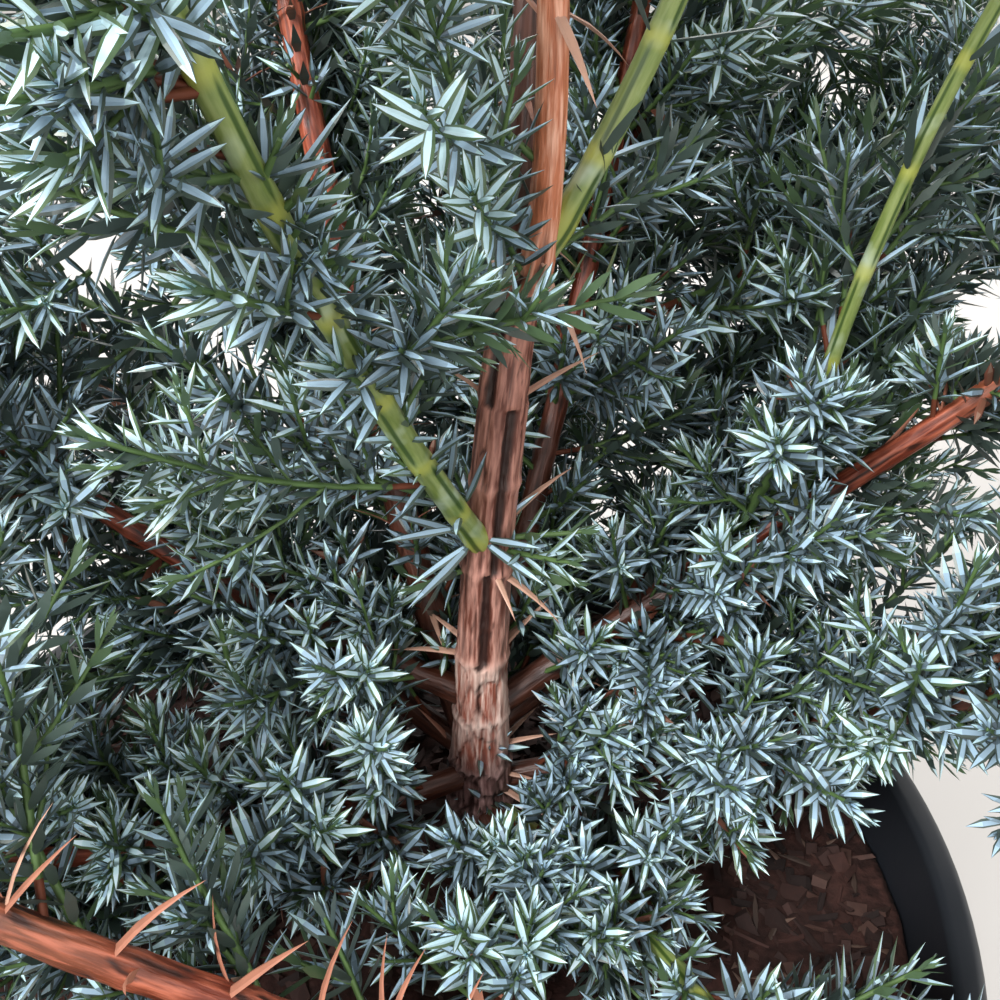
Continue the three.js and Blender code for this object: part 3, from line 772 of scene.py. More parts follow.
def needle_mesh(name, length, width, grade, curl=0.0):
    """A needle along +Z with its upper side facing -X: a blade with a raised band, ending in a point.

    Each face stores the part of the needle that it belongs to.
    """
    half = width / 2
    blade = list(NEEDLE_BLADE)
    if grade == "close":
        blade.insert(2, NEEDLE_RIDGE)
    rings = NEEDLE_RINGS[grade]
    sides = len(blade)
    points = [(0.0, 0.0, DRY_SHEATH * length if grade == "dry" else 0.0)]
    for share, broad in rings:
        lean = curl * length * share * share
        for depth, side in blade:
            points.append((depth * half * broad + lean, side * half * broad, share * length))
    tip = len(points)
    points.append((curl * length, 0.0, length))
    # The band's foot takes the shaded colour, painted shade, and on all but far needles its point takes the
    # pale tip colour, partly painted light.
    banded_tip = BAND if grade == "far" else TIP
    faces, kinds = [], []
    for i in range(sides):
        j = (i + 1) % sides
        banded = 1 <= i < sides - 2
        faces.append((0, 1 + i, 1 + j))
        kinds.append(SHADED if banded else GREEN)
        for ring in range(len(rings) - 1):
            low = 1 + ring * sides
            faces.append((low + j, low + i, low + sides + i, low + sides + j))
            kinds.append(BAND if banded else GREEN)
        last = tip - sides
        faces.append((last + j, last + i, tip))
        kinds.append(banded_tip if banded else GREEN)
    mesh = bpy.data.meshes.new(name)
    mesh.from_pydata(points, [], faces)
    mesh.update()
    mesh.attributes.new("part", "INT", "FACE").data.foreach_set("value", kinds)
    return mesh


def helper_object(name, mesh):
    """A mesh that only a modifier reads."""
    return bpy.data.objects.new(name, mesh)


class Shoot:
    """A leafy shoot: its points from base to tip, thickness, needle size, needle colours and direction."""

    def __init__(self, points, thick, vigour, tints, leafless, turn):
        self.points = points
        self.thick = thick
        self.vigour = vigour
        self.tints = tints
        self.leafless = leafless
        self.turn = turn


def lines_object(name, lines, stored):
    """A mesh of lines with numbers stored on its points."""
    points, edges = [], []
    for line in lines:
        start = len(points)
        points.extend(line)
        edges.extend((start + i, start + i + 1) for i in range(len(line) - 1))
    mesh = bpy.data.meshes.new(name)
    mesh.from_pydata(points, edges, [])
    for key, values in stored.items():
        store_numbers(mesh, key, values)
    return new_object(name, mesh)


def whorl_lines(name, shoots):
    """The leafy stretches of the shoots, with a point for each whorl of needles."""
    lines = []
    stored = {"to_tip": [], "vigour": [], "tint": [], "turn": []}
    for shoot in shoots:
        count = len(shoot.points)
        first = min(int(shoot.leafless * count), count - 2)
        lines.append(shoot.points[first:])
        marks = Route(shoot.points).marks
        for i in range(first, count):
            stored["to_tip"].append(marks[-1] - marks[i])
            stored["turn"].append(shoot.turn + i * math.pi / 3)
        stored["vigour"].extend([shoot.vigour] * (count - first))
        stored["tint"].extend(shoot.tints[first:])
    return lines_object(name, lines, stored)


def twig_lines(name, shoots):
    """The shoots as coarser lines, with their thickness and how woody they are."""
    lines = []
    stored = {"thick": [], "woody": []}
    for shoot in shoots:
        last = len(shoot.points) - 1
        chosen = sorted({*range(0, last, 3), last})
        lines.append([shoot.points[i] for i in chosen])
        for i in chosen:
            share = i / last
            stored["thick"].append(shoot.thick[0] + (shoot.thick[1] - shoot.thick[0]) * share)
            stored["woody"].append(1.0 if share < shoot.leafless or shoot.tints[i] == DRY else 0.0)
    return lines_object(name, lines, stored)


def needle_tree(materials):
    """The modifier that sets whorls of three needles along shoots, turned by half a step at each whorl."""
    net, given, leave = new_geometry_tree("Needles on shoots", {
        "Needle": "Object", "Straight needle": "Object", "Spread": "Float", "Seed": "Int",
    })

    def seed(step):
        return net.maths("ADD", given["Seed"], step)

    curve = net.add("GeometryNodeMeshToCurve", {"Mesh": given["Geometry"]}).outputs["Curve"]
    points = net.add("GeometryNodeCurveToPoints", {"Curve": curve}, mode="EVALUATED")
    copies = net.add("GeometryNodeDuplicateElements", {"Geometry": points.outputs["Points"], "Amount": 3},
                     domain="POINT")
    to_tip = net.named("to_tip")
    third = net.maths("MULTIPLY", copies.outputs["Duplicate Index"], TURN / 3)
    roll = net.maths("ADD", net.maths("ADD", net.named("turn"), third),
                     net.chance(-ROLL_JITTER, ROLL_JITTER, given["Seed"]))
    spread = net.maths("ADD", net.ramp(to_tip, *OPENING, "SMOOTHSTEP"), net.ramp(to_tip, *DROOP))
    lean = net.maths("MULTIPLY", given["Spread"], spread)
    lean = net.maths("ADD", lean, net.chance(-LEAN_JITTER, LEAN_JITTER, seed(1.0)))
    axes = net.add("FunctionNodeAxesToRotation", {
        "Primary Axis": points.outputs["Tangent"], "Secondary Axis": points.outputs["Normal"],
    }, primary_axis="Z", secondary_axis="X").outputs["Rotation"]
    turned = net.turned(net.turned(axes, (0, 0, 1), roll), (0, 1, 0), lean)
    size = net.maths("MULTIPLY", net.named("vigour"), net.ramp(to_tip, *TIP_SIZES))
    size = net.maths("MULTIPLY", size, net.chance(*SIZE_JITTER, seed(2.0)))
    kept = net.maths("GREATER_THAN", net.chance(0.0, 1.0, seed(3.0)), MISSING_SHARE)
    shapes = (given["Straight needle"], given["Needle"])
    pick = net.chance(0.0, 1.0, seed(4.0))
    needles = net.either(copies.outputs["Geometry"], shapes, pick, turned, size, kept)
    net.tree.links.new(coloured_needles(net, net.real(needles), materials), leave)
    return net.tree


def coloured_needles(net, needles, materials):
    """Each part of a needle in the plain colour that its tint calls for."""
    part, tint = net.named("part", "INT"), net.named("tint")
    for part_index, ages in enumerate(materials):
        for tint_index, material in enumerate(ages):
            chosen = net.maths("MULTIPLY", net.maths("COMPARE", part, float(part_index), 0.1),
                               net.maths("COMPARE", tint, float(tint_index), 0.5))
            needles = net.worn(needles, material, chosen)
    return needles


def twig_tree(green, brown):
    """The modifier that gives shoots a round, tapering axis: brown where woody, green beyond."""
    net, given, leave = new_geometry_tree("Twig skins", {"Sides": "Int"})
    curve = net.add("GeometryNodeMeshToCurve", {"Mesh": given["Geometry"]}).outputs["Curve"]
    ring = net.add("GeometryNodeCurvePrimitiveCircle", {"Resolution": given["Sides"], "Radius": 1.0})
    skin = net.add("GeometryNodeCurveToMesh", {
        "Curve": curve, "Profile Curve": ring.outputs["Curve"], "Scale": net.named("thick"),
        "Fill Caps": True,
    }).outputs["Mesh"]
    skin = net.worn(net.real(skin), green)
    skin = net.worn(skin, brown, net.maths("GREATER_THAN", net.named("woody"), 0.5))
    net.tree.links.new(skin, leave)
    return net.tree


def bent_line(start, aim, length, light, lift, rng, gap):
    """Points of a shoot that leaves in one direction and turns towards the light, one for each whorl.

    The whorls stand closer together at the tip.
    """
    distances = [0.0]
    step = TIP_GAP
    while distances[-1] + step * gap < length:
        distances.append(distances[-1] + step * gap)
        step = min(1.0, step + TIP_GAP_GROWTH)
    marks = [length - distance for distance in reversed(distances)]
    sway = Vector((rng.gauss(0, 1), rng.gauss(0, 1), rng.gauss(0, 1))) * SWAY
    points = [start.copy()]
    before = 0.0
    for mark in marks:
        if mark <= 0:
            continue
        share = mark / length
        way = (aim + light * (lift * share) + sway * math.sin(3 * share)).normalized()
        points.append(points[-1] + way * (mark - before))
        before = mark
    return points


def point_tree(points):
    """A tree that finds the nearest of some points."""
    tree = KDTree(len(points))
    for index, point in enumerate(points):
        tree.insert(point, index)
    tree.balance()
    return tree


class View:
    """The reference view, which sees some wood and some ground free of foliage."""

    def __init__(self):
        self.eye = Vector(EYE) * MM
        tilt = math.radians(EYE_TILT)
        self.forward = Vector((0, math.cos(tilt), -math.sin(tilt)))
        self.up = Vector((0, math.sin(tilt), math.cos(tilt)))
        self.wood = []
        for limb, begin, end, clear in CLEAR_WOOD:
            steps = max(4, round((end - begin) * ROUTES[limb].length / WOOD_STEP))
            for i in range(steps + 1):
                line = ROUTES[limb].at(begin + (end - begin) * i / steps) - self.eye
                self.wood.append((line.normalized(), line.length, clear * MM))
        self.tree = point_tree([way for way, _, _ in self.wood])

    def clear(self, point):
        """Whether a point hides neither the wood nor the ground that the view sees."""
        line = point - self.eye
        distance = line.length
        for _, index, apart in self.tree.find_n(line / distance, 2):
            _, reach, clear = self.wood[index]
            if distance < reach - BEFORE_WOOD and apart * distance < clear:
                return False
        depth = line.dot(self.forward)
        if depth > GROUND_DEPTH:
            across_view = 500 + 1000 * line.x / depth
            down_view = 500 - 1000 * line.dot(self.up) / depth
            for x, y, radius in CLEAR_GROUND:
                if math.hypot(across_view - x, down_view - y) < radius:
                    return False
        return distance > NEAREST_LEAF

    def trimmed(self, points):
        """A shoot's points up to where it would come into the way."""
        for index, point in enumerate(points):
            if (point - points[0]).length > UNTRIMMED and not self.clear(point):
                return points[:index]
        return points


def across(way, angle):
    """A unit direction square to another, at an angle round it."""
    side = way.cross(UP)
    if side.length < 0.05:
        side = way.cross(Vector((1, 0, 0)))
    side.normalize()
    return Quaternion(way, angle) @ side


def round_wood(way, angle):
    """A unit direction square to a limb's, at an angle round it: 0 is the back, 180 degrees the front."""
    side = Vector((1, 0, 0)) if abs(way.y) > 0.9 else Vector((0, 1, 0))
    side = (side - way * side.dot(way)).normalized()
    return side * math.cos(angle) + way.cross(side) * math.sin(angle)


class Mass:
    """The room that one mass of foliage may fill, taken from its CAD node."""

    REACH = 140 * MM

    def __init__(self, node):
        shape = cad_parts[node].data
        corners = [vertex.co.copy() for vertex in shape.vertices]
        faces = [tuple(face.vertices) for face in shape.polygons]
        self.tree = BVHTree.FromPolygons(corners, faces)

    def room(self, start, way):
        """How far the mass reaches from a point in a direction."""
        hit = self.tree.ray_cast(start + way * self.REACH, -way, self.REACH)
        return 0.0 if hit[0] is None else self.REACH - hit[3]


def mass_axis(node):
    """The route of a mass's axis, and the fractions of it where the mass begins and ends."""
    if node in PLUMES:
        limb, begin, end = PLUMES[node]
        return ROUTES[limb], begin, end
    limb, at, heading, rise, length = SPRAYS[node]
    foot = ROUTES[limb].at(at)
    rises = (rise + SPRAY_ARCH, rise - SPRAY_ARCH)
    return turning_route(foot, (heading, heading), rises, length), 0.0, 1.0


def needle_tints(count, age, rng):
    """Ages of a shoot's whorls by their colours. They are older and darker at its foot, partly as painted
    shade, and fresher and lighter at its tip.
    """
    dry = DRY_FOOT if age < FRESH and rng.random() < DRY_SHOOTS else 0
    # The dull whorls at the foot take darker tints, for age and as painted shade.
    dull = rng.uniform(0.2, 0.6)
    bright = rng.choice((0, 0, 3, 5))
    tints = []
    for i in range(count):
        if i < dry * count:
            tints.append(DRY)
        elif i < dull * count:
            tints.append(max(OLD, age - 1))
        else:
            tints.append(min(FRESH, age + 1) if i >= count - bright else age)
    return tints


class Wood:
    """The wood that shoots can start from."""

    def __init__(self):
        self.spots = []
        for name, route in ROUTES.items():
            begin, end = (0.03, 0.5) if name == "trunk" else (0.08, 1.0)
            steps = round((end - begin) * route.length / WOOD_STEP)
            for i in range(steps + 1):
                s = begin + (end - begin) * i / steps
                self.spots.append((route.at(s), route.way(s)))
        self.tree = point_tree([place for place, _ in self.spots])

    def nearest(self, target):
        """The best place to start a shoot to a point: near it, and at a slant to the wood."""
        best, least = None, math.inf
        for place, index, distance in self.tree.find_range(target, FILL_REACH):
            if distance < FILL_CLEAR:
                return None
            slant = math.degrees(self.spots[index][1].angle(target - place))
            cost = distance * (1 + abs(slant - BEST_SLANT) / SLANT_COST)
            if distance > FILL_NEAREST and cost < least:
                best, least = place, cost
        return best


class Grower:
    """Grows shoots by one branching rule, each with its own seed."""

    def __init__(self, plant, view, wood, fill, name):
        self.ages = AGES_AND_PAINTED_LIGHT.get(name, MIXED)
        self.plant = plant
        self.view = view
        self.wood = wood
        self.fill = fill
        self.light = Vector(plant.light).normalized()
        self.shoots = []

    def add(self, points, thick, vigour, age, leafless, rng, trimmed=True):
        """Adds one shoot, cut short where it would come into the view's way. Returns its route."""
        if trimmed:
            points = self.view.trimmed(points)
        if len(points) < FEWEST_WHORLS:
            return None
        tints = needle_tints(len(points), age, rng)
        self.shoots.append(Shoot(points, thick, vigour, tints, leafless, rng.uniform(0, TURN)))
        return Route(points)

    def grow_mass(self, node):
        """Grows a mass: an axis, side shoots spaced round it and twigs on those, inside the mass's room."""
        rng = random.Random(f"{self.plant.seed} {node}")
        route, begin, end = mass_axis(node)
        mass = Mass(node)
        whole = (end - begin) * route.length
        count = max(6, round(whole / self.plant.whorl_gap))
        spine = [route.at(begin + (end - begin) * i / count) for i in range(count + 1)]
        spray = node in SPRAYS
        if spray or end > 1:
            self.add(spine, SPINE_THICK, 1.1, GROWN, 0.25 if spray else 0.0, rng)
        angle = rng.uniform(0, TURN)
        distance = 1.5 * MM
        while distance < whole - BARE_TIP:
            share = distance / whole
            s = begin + (end - begin) * share
            start, way = route.at(s), route.way(s)
            angle += GOLDEN_TURN + rng.uniform(-0.35, 0.35)
            lean = math.radians(78 - 40 * share + rng.uniform(-12, 12))
            aim = (way * math.cos(lean) + across(way, angle) * math.sin(lean)).normalized()
            room = mass.room(start, (aim + self.light * 0.25).normalized())
            distance += self.plant.shoot_gap * self.fill * rng.uniform(0.75, 1.25)
            if room < SHORTEST_SHOOT:
                continue
            length = min(room * rng.uniform(0.85, 1.2) + 3 * MM, LONGEST_SIDE_SHOOT)
            self.grow_side_shoot(start, aim, length, mass, rng)

    def grow_side_shoot(self, start, aim, length, mass, rng, lift=0.55):
        """Grows a side shoot and the twigs on it."""
        age = rng.choices((OLD, GROWN, FRESH), self.ages)[0]
        line = bent_line(start, aim, length, self.light, lift, rng, self.plant.whorl_gap)
        leafless = rng.uniform(0.05, 0.25)
        bare = 0.0 if mass else BARE_FOOT_LOW if start.z < LOW_WOOD else BARE_FOOT
        leafless = max(leafless, bare / length)
        side = self.add(line, SIDE_THICK, rng.uniform(0.9, 1.1), age, leafless, rng)
        if side is None:
            return
        angle = rng.uniform(0, TURN)
        distance = 0.1 * length + 2 * MM + 0.6 * bare
        while distance < side.length - BARE_TIP:
            share = distance / side.length
            foot, way = side.at(share), side.way(share)
            angle += math.pi * rng.choice((2 / 3, 1, 4 / 3)) + rng.uniform(-0.3, 0.3)
            lean = math.radians(rng.uniform(38, 60))
            turn = (way * math.cos(lean) + across(way, angle) * math.sin(lean)).normalized()
            distance += self.plant.twig_gap * self.fill * rng.uniform(0.7, 1.3)
            reach = (6 * MM + 0.5 * (length - distance)) * rng.uniform(0.7, 1.2)
            if mass:
                reach = min(reach, mass.room(foot, turn) + 7 * MM)
            reach = min(reach, LONGEST_TWIG)
            if reach < SHORTEST_SHOOT:
                continue
            twig = bent_line(foot, turn, reach, self.light, 0.6, rng, self.plant.whorl_gap)
            twig_age = min(FRESH, age + rng.choice((0, 0, 1)))
            self.add(twig, TWIG_THICK, rng.uniform(0.74, 1.0), twig_age, 0.0, rng)

    def grow_sprigs(self, near):
        """Grows the twigs on bare wood: on the limbs near the reference view, or on the others."""
        sprigs = [(limb, *row) for limb, rows in SPRIGS for row in rows]
        for index, (limb, at, heading, rise, length, lift, *single) in enumerate(sprigs):
            if (limb in NEAR_LIMBS) != near:
                continue
            rng = random.Random(f"{self.plant.seed} sprig {index}")
            start = ROUTES[limb].at(at)
            aim = direction(heading, rise)
            if single:
                line = bent_line(start, aim, length * MM, self.light, lift, rng, self.plant.whorl_gap)
                self.add(line, SINGLE_THICK, 0.9, FRESH, SINGLE_BARE_FOOT / length, rng, False)
            else:
                self.grow_side_shoot(start, aim, length * MM, None, rng, lift)

    def grow_leafy_wood(self):
        """Grows close twigs on the wood that the reference view does not show."""
        for limb, (begin, end) in LEAFY_WOOD.items():
            rng = random.Random(f"{self.plant.seed} leafy {limb}")
            route = ROUTES[limb]
            angle = rng.uniform(0, TURN)
            s = begin
            while s < end:
                angle += GOLDEN_TURN + rng.uniform(-0.4, 0.4)
                lean = math.radians(rng.uniform(44, 74))
                way = route.way(s)
                aim = way * math.cos(lean) + across(way, angle) * math.sin(lean)
                start = route.at(s) + across(way, angle) * (0.7 * limb_radius(limb)(s))
                self.grow_side_shoot(start, aim, rng.uniform(12, 25) * MM, None, rng, 0.7)
                s += rng.uniform(2.6, 5.0) * MM / route.length

    def grow_fill(self, zone):
        """Fills the room between the masses with shoots from the nearest wood."""
        rng = random.Random(f"{self.plant.seed} {zone}")
        middle, half, count = FILL_ZONES[zone]
        grown = 0
        for _ in range(count * 12):
            if grown == count:
                return
            ball = Vector((rng.gauss(0, 1), rng.gauss(0, 1), rng.gauss(0, 1))).normalized()
            ball *= rng.random() ** (1 / 3)
            target = Vector([(m + h * b) * MM for m, h, b in zip(middle, half, ball)])
            if target.z < FILL_FLOOR or not self.view.clear(target):
                continue
            foot = self.wood.nearest(target)
            if foot is None:
                continue
            reach = target - foot
            self.grow_side_shoot(foot, reach.normalized(), reach.length, None, rng, rng.uniform(0.3, 1.1))
            grown += 1


# The trunk's bark is flaky at the foot, then in smooth plates, then ribbed, then smooth: where each of
# these ends, over what length it fades, and up to where the internodes end in a torn ring
FLAKY_TOP, FLAKY_FADE = 19, 5
PLATED_TOP, PLATED_FADE = 38.5, 0.8
SMOOTH_FROM, SMOOTH_FADE = 97, 12
RINGS_TOP = 75

# Nodes of the trunk in millimetres above its foot, the turn of its ribs in each internode, and dry needles
# that show on it: height, heading, rise, size
TRUNK_NODES = (6, 14.8, 26, 38.5, 56, 70.6, 83, 101, 115, 129, 143, 158, 173, 188, 203, 218, 233, 248, 262)
TRUNK_NODE_PLACES = [node * MM for node in TRUNK_NODES]
TRUNK_TURNS = (0.2, -0.3, 0.1, -0.1, 0.05, 0.32, 0.36, -0.7)
TRUNK_DRY_NEEDLES = [
    (38, -180, 15, 1.1), (38, 23, 47, 1.15), (56, -65, -24, 0.8), (55, -29, -18, 1.05),
    (63, 24, 43, 1.15), (64, -150, 50, 0.6), (83, 162, 37, 0.85), (83.5, 12, 31, 1.2),
    (101, -46, -39, 1.2), (103, -70, -30, 0.7), (129, -62, -39, 1.1), (18, -5, 24, 1.0),
    (9, -30, -10, 1.1), (12, -20, 8, 0.8), (8, -165, -1, 0.9),
    (27, 170, 20, 0.6),
]
# Dry needles that show on the boughs, by limb: millimetres along it, heading, rise, size
BOUGH_DRY_NEEDLES = {
    "bough_right": [
        (86, 70, 62, 1.25), (88, 9, 26, 1.3), (86, 126, 55, 0.9), (76, 16, 50, 1.0), (98, 48, 61, 1.1),
        (98, -60, -40, 1.0),
    ],
    "bough_front_left": [
        (34, 9, 44, 1.25), (34, 130, 60, 1.0), (48, 16, 51, 1.3), (60, 20, 48, 1.2), (60, 140, 50, 1.0),
        (22, 70, 65, 1.2), (12, 60, 70, 1.3), (12, 110, 62, 1.2), (3, 48, 61, 1.3),
    ],
    "bough_front_left_foot": [(48, 117, 66, 1.3), (44, 60, 60, 1.2)],
}
# Large needles at the foot of leader_left that the reference view shows one by one: millimetres along it,
# heading, rise, size and age
LARGE_NEEDLES = [
    (5.5, -177, 22, 0.95, 1), (4.5, -146, -15, 0.9, 1), (4.5, -38, -14, 0.95, 1), (5, 16, 30, 0.8, 1),
    (9, -160, 4, 0.9, 1), (16, -150, 30, 0.85, 0), (18, 60, 70, 0.8, 0),
]
# Share of the needles on green wood that are gone, and of the dry ones that are left
LEADER_MISSING_SHARE = 0.12
DRY_KEPT_SHARE = 0.62
# Limbs that carry dry needles at their nodes, and boughs whose bark is older or younger than the rest on the
# colour ramp: two keep to its dark foot, which is painted shade of the crown, and one starts past it
DRY_LIMBS = ("bough_right", "stem_left", "stem_dark", "bough_front_left")
BOUGH_AGES_AND_SHADE = {
    "bough_front_left_foot": (0.0, 0.2), "bough_front_left": (0.45, 1.0), "bough_right_front": (0.0, 0.2),
}
BOUGH_NODE_GAP = 15 * MM
LEADER_NODE_GAP = 13.5 * MM


def held(value, high=1.0):
    """A value held between 0 and a limit."""
    return max(0.0, min(high, value))


def peak(value, width):
    """1 where a value is zero, and 0 from a width to either side of that."""
    return max(0.0, 1 - abs(value) / width)


def grain(place, across, along, shift=0.0):
    """Smooth noise between about -1 and 1, with a scale across the wood and another along it."""
    x, y, z = place
    return noise.noise(Vector((x * across, y * across, z * along + shift)))


def plates(place, width, mix):
    """Uneven plates: 1 on the seams between them, falling off over a width, and a number for each plate."""
    distances, centres = noise.voronoi(place)
    return 1 - min(1.0, (distances[1] - distances[0]) / width), noise.cell(centres[0] * mix)


def three_ribs(angle):
    """0 in the furrows between three ribs round a limb, and 1 on the ribs."""
    return abs(math.sin(1.5 * angle))


def trunk_internode(along):
    """The trunk's internode that a length along it lies in, and the way to the nearest node."""
    index = bisect.bisect_right(TRUNK_NODE_PLACES, along)
    low = TRUNK_NODE_PLACES[index - 1] if index else 0.0
    if index < len(TRUNK_NODE_PLACES):
        high = TRUNK_NODE_PLACES[index]
    else:
        high = low + TRUNK_NODE_PLACES[-1] - TRUNK_NODE_PLACES[-2]
    return index, min(along - low, high - along) / MM


def even_internode(z, gap):
    """The internode that a height lies in where nodes stand a gap apart, and the way to the nearest."""
    index = math.floor(z / gap)
    share = z / gap - index
    return index, min(share, 1 - share) * gap


def trunk_relief(angle, along, radius, seed):
    """Height of the trunk's bark in millimetres, how pale it is there, partly as painted highlight on its
    ribs, and how dark.

    Each internode has three ribs with rough furrows between them, and ends in a torn ring. The lowest ones
    are in smooth plates with seams between them, the foot is flaky, and higher up the bark is smooth.
    """
    z, r = along / MM, radius / MM
    x, y = math.cos(angle) * r, math.sin(angle) * r
    place = (x, y, z)
    index, to_node = trunk_internode(along)
    torn = 1.2 * grain((x, y, index), 1.1, 9.0)
    flaky = held((FLAKY_TOP - z) / FLAKY_FADE)
    plated = held((PLATED_TOP - z + torn) / PLATED_FADE)
    smooth = held((z - SMOOTH_FROM) / SMOOTH_FADE)
    rough = (1 - plated) * (1 - smooth)
    rib = three_ribs(angle - math.pi - TRUNK_TURNS[index % len(TRUNK_TURNS)])
    furrow = peak(rib, 0.46 + 0.16 * grain(place, 0.3, 0.12)) * rough
    seam_line = peak(rib, 0.2) * plated
    edge = math.exp(-((to_node - torn) / 0.8) ** 2) if z < RINGS_TOP else 0.0
    streaks = grain(place, 1.5, 0.09) + 0.6 * grain(place, 3.4, 0.2)
    crust = abs(grain(place, 1.3, 0.55)) + 0.6 * abs(grain(place, 3, 1.4))
    crack = peak(grain(place, 0.8, 0.06, seed), 0.06) * rough
    seam, plate = plates(Vector((x * 0.42, y * 0.42, z * 0.2 + 4)), 0.14, 5.7)
    tear, sheet = plates(Vector((x * 0.28 + 7, y * 0.28, z * 0.11)), 0.09, 3.3)
    tear *= plated
    height = 0.3 * rib ** 0.6 * (1 - 0.6 * smooth) + 0.08 * streaks
    height -= furrow * (0.5 + 0.5 * crust) + 0.25 * seam_line + 0.2 * crack
    height += 0.32 * edge + flaky * (0.4 * (plate - 0.35) - 0.4 * seam + 0.25 * crust)
    height += plated * 0.25 * sheet - 0.2 * tear
    # The rib crests and the lips beside the furrows are pale as painted highlight; the streaks, the torn
    # ring, the plates and the flakes are paler bark.
    lit_lips = peak(rib - 0.64, 0.12)
    pale = rough * (0.8 * lit_lips + held((rib - 0.8) * 3 + 0.9 * streaks, 0.7)) + 0.7 * edge
    pale += plated * (1 - flaky) * (0.2 + 0.7 * sheet + 0.9 * streaks)
    pale += flaky * max(0.0, plate - 0.35 + 0.3 * streaks)
    dark = min(1.0, 1.5 * furrow) * min(1.0, 0.7 + 0.8 * crust) + 0.45 * seam_line + 0.6 * crack
    dark += 0.7 * flaky * seam + 0.5 * tear
    return height, held(pale), min(1.0, dark)


def bough_relief(angle, along, radius, seed):
    """Height of a bough's bark in millimetres, how pale it is there and how dark."""
    z, r = along / MM, radius / MM
    x, y = math.cos(angle) * r + 3 * seed, math.sin(angle) * r
    place = (x, y, z)
    index, to_node = even_internode(z, BOUGH_NODE_GAP / MM)
    rib = three_ribs(angle - index * math.pi / 3 - seed)
    torn = grain((x, y, index), 1.2, 9.0)
    ring = math.exp(-(((to_node + 0.8 * torn) / 0.7) ** 2))
    streaks = grain(place, 1.6, 0.1) + 0.5 * grain(place, 3.6, 0.22)
    crack = peak(grain(place, 0.9, 0.05), 0.09)
    curl = max(0.0, grain(place, 0.8, 0.12) - 0.28)
    height = 0.16 * rib + 0.1 * streaks + 0.22 * ring - 0.22 * crack + 0.7 * curl
    pale = held(0.55 * streaks + 1.6 * curl + 0.4 * ring)
    return height, pale, min(1.0, crack + 0.6 * max(0.0, 0.2 - rib) / 0.2)


def green_relief(angle, along, _, seed):
    """Height of green bark in millimetres, how close a node is, and how deep its grooves are."""
    z = along / MM
    index, to_node = even_internode(z, LEADER_NODE_GAP / MM)
    rib = three_ribs(angle - index * math.pi / 3 - seed)
    node = math.exp(-((to_node / 1.3) ** 2))
    groove = peak(rib, 0.45) * min(1.0, to_node / 2.5)
    foot = math.exp(-((z - 4.8) / 3.0) ** 2)
    height = 0.14 * rib ** 0.5 + 0.1 * node + 0.5 * foot - 0.16 * groove
    return height, min(1.0, node + foot), groove


def skin_limb(builder, route, radius_at, relief, sides, step, seed, ages=(0.0, 1.0)):
    """Adds a limb's bark to a builder: rings of points along the route, closed at both ends.

    The colours of its bark run between two ages, from 0 for a dark foot to 1 for a green tip. On the boughs
    the dark foot is painted shade of the crown.
    """
    rings = max(8, round(route.length / step))
    first = len(builder.points)
    side = round_wood(route.way(0), 0)
    for i in range(rings + 1):
        s = i / rings
        way = route.way(s)
        side = (side - way * side.dot(way)).normalized()
        other = way.cross(side)
        centre, radius = route.at(s), radius_at(s)
        along = s * route.length
        for j in range(sides):
            angle = TURN * j / sides
            height, pale, dark = relief(angle, along, radius, seed)
            height *= MM * min(1.0, radius / (2.4 * MM))
            outwards = side * math.cos(angle) + other * math.sin(angle)
            builder.points.append(centre + outwards * (radius + height))
            builder.straight.append((math.cos(angle) * radius, math.sin(angle) * radius,
                                     along + 0.01 * seed))
            builder.relief.append((pale, dark, ages[0] + (ages[1] - ages[0]) * s))
    for i in range(rings):
        low = first + i * sides
        for j in range(sides):
            k = (j + 1) % sides
            builder.faces.append((low + j, low + k, low + sides + k, low + sides + j))
    last = first + rings * sides
    builder.faces.append(tuple(reversed(range(first, first + sides))))
    builder.faces.append(tuple(range(last, last + sides)))


class BarkBuilder:
    """Collects the bark of several limbs for one mesh."""

    def __init__(self):
        self.points, self.faces, self.straight, self.relief = [], [], [], []

    def build(self, name, material):
        """The collected bark as one smooth object."""
        mesh = bpy.data.meshes.new(name)
        mesh.from_pydata(self.points, [], self.faces)
        store_vectors(mesh, "straight", self.straight)
        store_vectors(mesh, "relief", self.relief)
        shade_smooth(mesh)
        mesh.materials.append(material)
        return new_object(name, mesh)


def zone_ramp(net, value, stops):
    """A colour ramp over a value, from places and colours."""
    ramp = net.add("ShaderNodeValToRGB", {"Fac": value})
    while len(ramp.color_ramp.elements) < len(stops):
        ramp.color_ramp.elements.new(0.5)
    for element, (place, colour) in zip(ramp.color_ramp.elements, stops):
        element.position = place
        element.color = (*colour, 1)
    return ramp.outputs["Color"]


def bark_sources(net, stretch, fibre, patch):
    """The three numbers stored on a limb's skin, and a noise in fibres along it and one in patches."""
    straight = net.add("ShaderNodeAttribute", attribute_name="straight").outputs["Vector"]
    relief = net.add("ShaderNodeAttribute", attribute_name="relief").outputs["Vector"]
    numbers = net.add("ShaderNodeSeparateXYZ", {"Vector": relief}).outputs[:3]
    inputs = {"Vector": straight, "Scale": (1, 1, stretch)}
    stretched = net.add("ShaderNodeMapping", inputs).outputs["Vector"]
    return numbers, noise_at(net, stretched, *fibre), noise_at(net, straight, *patch)


